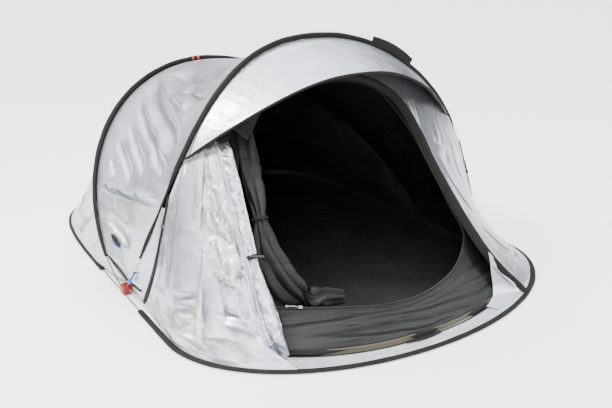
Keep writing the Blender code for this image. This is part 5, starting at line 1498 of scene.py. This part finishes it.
def make_front_parts():
    start, ahead = (skirt_inner(one(SKIRT_INNER[0] + d), 0.0065)[0] for d in (0.004, 0.012))
    place = frame_at((start + ahead) / 2 + UP * 0.0015, ahead - start, UP)
    pull_cord("door_pull_cord", place, 200, [(-0.0085, 0.0, 0.0054), (-0.017, -0.004, 0.008), (-0.01, -0.03, 0.017),
                                             (0.016, -0.058, 0.025), (0.052, -0.092, 0.022)], 0.0034, "door_zip_slider")

    first, last = (one(k / INNER_ZIP_STEPS) for k in (23, 24))
    lower, upper = inner_zip_point(last, 0.00725)[0], inner_zip_point(first, 0.00725)[0]
    side, along = unit(inner_zip_point(last, 0.02)[0] - lower), unit(upper - lower)
    face = np.cross(along, side)
    face = unit(face if face[1] < 0 else -face)
    place = frame_at(upper * 0.65 + lower * 0.35 + face * 0.00075, along, face)
    pull_cord("inner_pull_cord", place, 120, [(-0.0085, 0.0, 0.0054), (-0.02, 0.0, 0.012), (-0.036, 0.0, 0.013),
                                              (-0.056, 0.0, 0.01)], 0.0032, "inner_zip_slider")

    def loop(u, v):
        share = span(0.452, 0.508, u)
        return skirt_inner(share, 0.004 + 0.022 * v * (1 - 0.8 * np.abs(u - 0.5))) + UP * 0.0052

    panel("peg_loop_front_webbing", loop, 60, 20, "sleeve", crumpled(0.03, 0.0012, 96, 0, 1, 0.004, 0.004),
          ["peg_loop_front"], 0.0018, away=BELOW)


def pull_cord(node, place, count, stops, diameter, body):
    """A slider's free cord through the stops, in the slider's own frame, with a knot at its end."""
    route = smooth([place(*stop) for stop in stops], count)
    name = node + "_braid"
    made = tube(name, route, np.linspace(0, 1, 90), diameter / 2, "cord", 12, hint=(0.2, 0.1, 1.0), hollow=False,
                body=body, replaced=[node])
    end = knot(name + "_knot", route.at(one(0.985))[0], 0.003, body)
    list(route.points[0])
    [list(p) for p in route.at(np.linspace(0, 1, 60))]


KEPT_NODES = {"junction": ("red_plastic", 0.0016), "pull_ring": ("blue_plastic", 0.0008),
              "ring_stud": ("black_plastic", 0.0004), "zip_slider": ("metal", 0.0006),
              "door_zip_slider": ("metal", 0.0006), "inner_zip_slider": ("metal", 0.0006),
              "door_toggle": ("black_plastic", 0.0006)}
FIXED_KINDS = ("junction", "ring_stud")


def mould_kept_nodes():
    """The hard parts keep their CAD shape, with softened edges. Those that move are bodies of the same name."""
    for name, item in nodes.items():
        kind = next((kind for kind in KEPT_NODES if name.startswith(kind)), None)
        if kind is None:
            continue
        material, radius = KEPT_NODES[kind]
        made = bpy.data.objects.new(name + "_moulded", item.data.copy())
        bpy.context.scene.collection.objects.link(made)
        made.data.materials.clear()
        made.data.materials.append(MATERIALS[material])
        edge = made.modifiers.new("edge", "BEVEL")
        edge.width, edge.segments, edge.limit_method = radius, 2, "ANGLE"
        made.data.shade_smooth()
        made.modifiers.new("shading", "WEIGHTED_NORMAL")
        place_piece(made, material, [name], "tent" if kind in FIXED_KINDS else name)


# The camera, lights and floor


PHOTO_WIDTH, FOCAL_PIXELS, SENSOR = 612.0, 738.7, 36.0
CAMERA_PLACE, CAMERA_AZIMUTH, CAMERA_ELEVATION = (-1.8809, -3.1059, 1.5395), -32.6, 20.0
# Each light's place, what it is aimed at, its size in metres and its power in watts
LIGHTS = {"key": ((-2.9, 0.9, 4.4), (-0.1, -0.1, 0.4), 1.5, 260),
          "fill": ((-2.8, -4.4, 2.4), (-0.2, -0.6, 0.3), 1.6, 150),
          "side": ((3.6, -3.4, 2.6), (0.6, -0.5, 0.4), 1.6, 120)}
SKY_TOP = (-0.15, 0.2, 0.97)


def make_stage():
    """A pale floor under a sky that is bright overhead and dim at the horizon."""
    bpy.ops.mesh.primitive_plane_add(size=300, location=(0, 0, -0.0005))
    floor = bpy.context.object
    floor.name = "floor"
    paint = Nodes("floor_paint")
    paint.finish(rgb(0.93, 0.93, 0.93), 0.9, None, Emission_Color=rgb(1.0, 1.0, 1.0), Emission_Strength=0.25)
    floor.data.materials.append(paint.material)
    world = bpy.context.scene.world or bpy.data.worlds.new("world")
    bpy.context.scene.world = world
    world.use_nodes = True
    tree = world.node_tree
    way, lean, ramp = (tree.nodes.new("ShaderNode" + kind) for kind in ("TexCoord", "VectorMath", "MapRange"))
    lean.operation = "DOT_PRODUCT"
    lean.inputs[1].default_value = unit(np.array(SKY_TOP))
    for socket, value in (("From Min", 0.3), ("From Max", 0.85), ("To Min", 0.06), ("To Max", 5.0)):
        ramp.inputs[socket].default_value = value
    back = tree.nodes["Background"].inputs
    back["Color"].default_value = rgb(0.96, 0.98, 1.0)
    for output, socket in ((way.outputs["Generated"], lean.inputs[0]), (lean.outputs["Value"], ramp.inputs["Value"]),
                           (ramp.outputs["Result"], back["Strength"])):
        tree.links.new(output, socket)


def make_lights():
    for name, (place, target, size, power) in LIGHTS.items():
        data = bpy.data.lights.new(name, "AREA")
        data.shape, data.size, data.energy = "DISK", size, power
        made = bpy.data.objects.new(name, data)
        made.location = place
        made.rotation_euler = (Vector(target) - Vector(place)).to_track_quat("-Z", "Y").to_euler()
        bpy.context.scene.collection.objects.link(made)


def make_camera():
    azimuth, elevation = math.radians(CAMERA_AZIMUTH), math.radians(CAMERA_ELEVATION)
    back = Vector((math.sin(azimuth) * math.cos(elevation), -math.cos(azimuth) * math.cos(elevation),
                   math.sin(elevation)))
    data = bpy.data.cameras.new("camera")
    data.sensor_width, data.lens = SENSOR, FOCAL_PIXELS * SENSOR / PHOTO_WIDTH
    made = bpy.data.objects.new("camera", data)
    made.location = CAMERA_PLACE
    made.rotation_mode = "QUATERNION"
    made.rotation_quaternion = (-back).to_track_quat("-Z", "Y")
    bpy.context.scene.collection.objects.link(made)
    bpy.context.scene.camera = made


make_flysheet()
make_sleeves()
make_zips()
make_doors()
make_inner()
make_groundsheet()
make_side_parts()
make_handle_and_marks()
make_front_parts()
mould_kept_nodes()
make_stage()
make_lights()
make_camera()
bpy.context.view_layer.update()
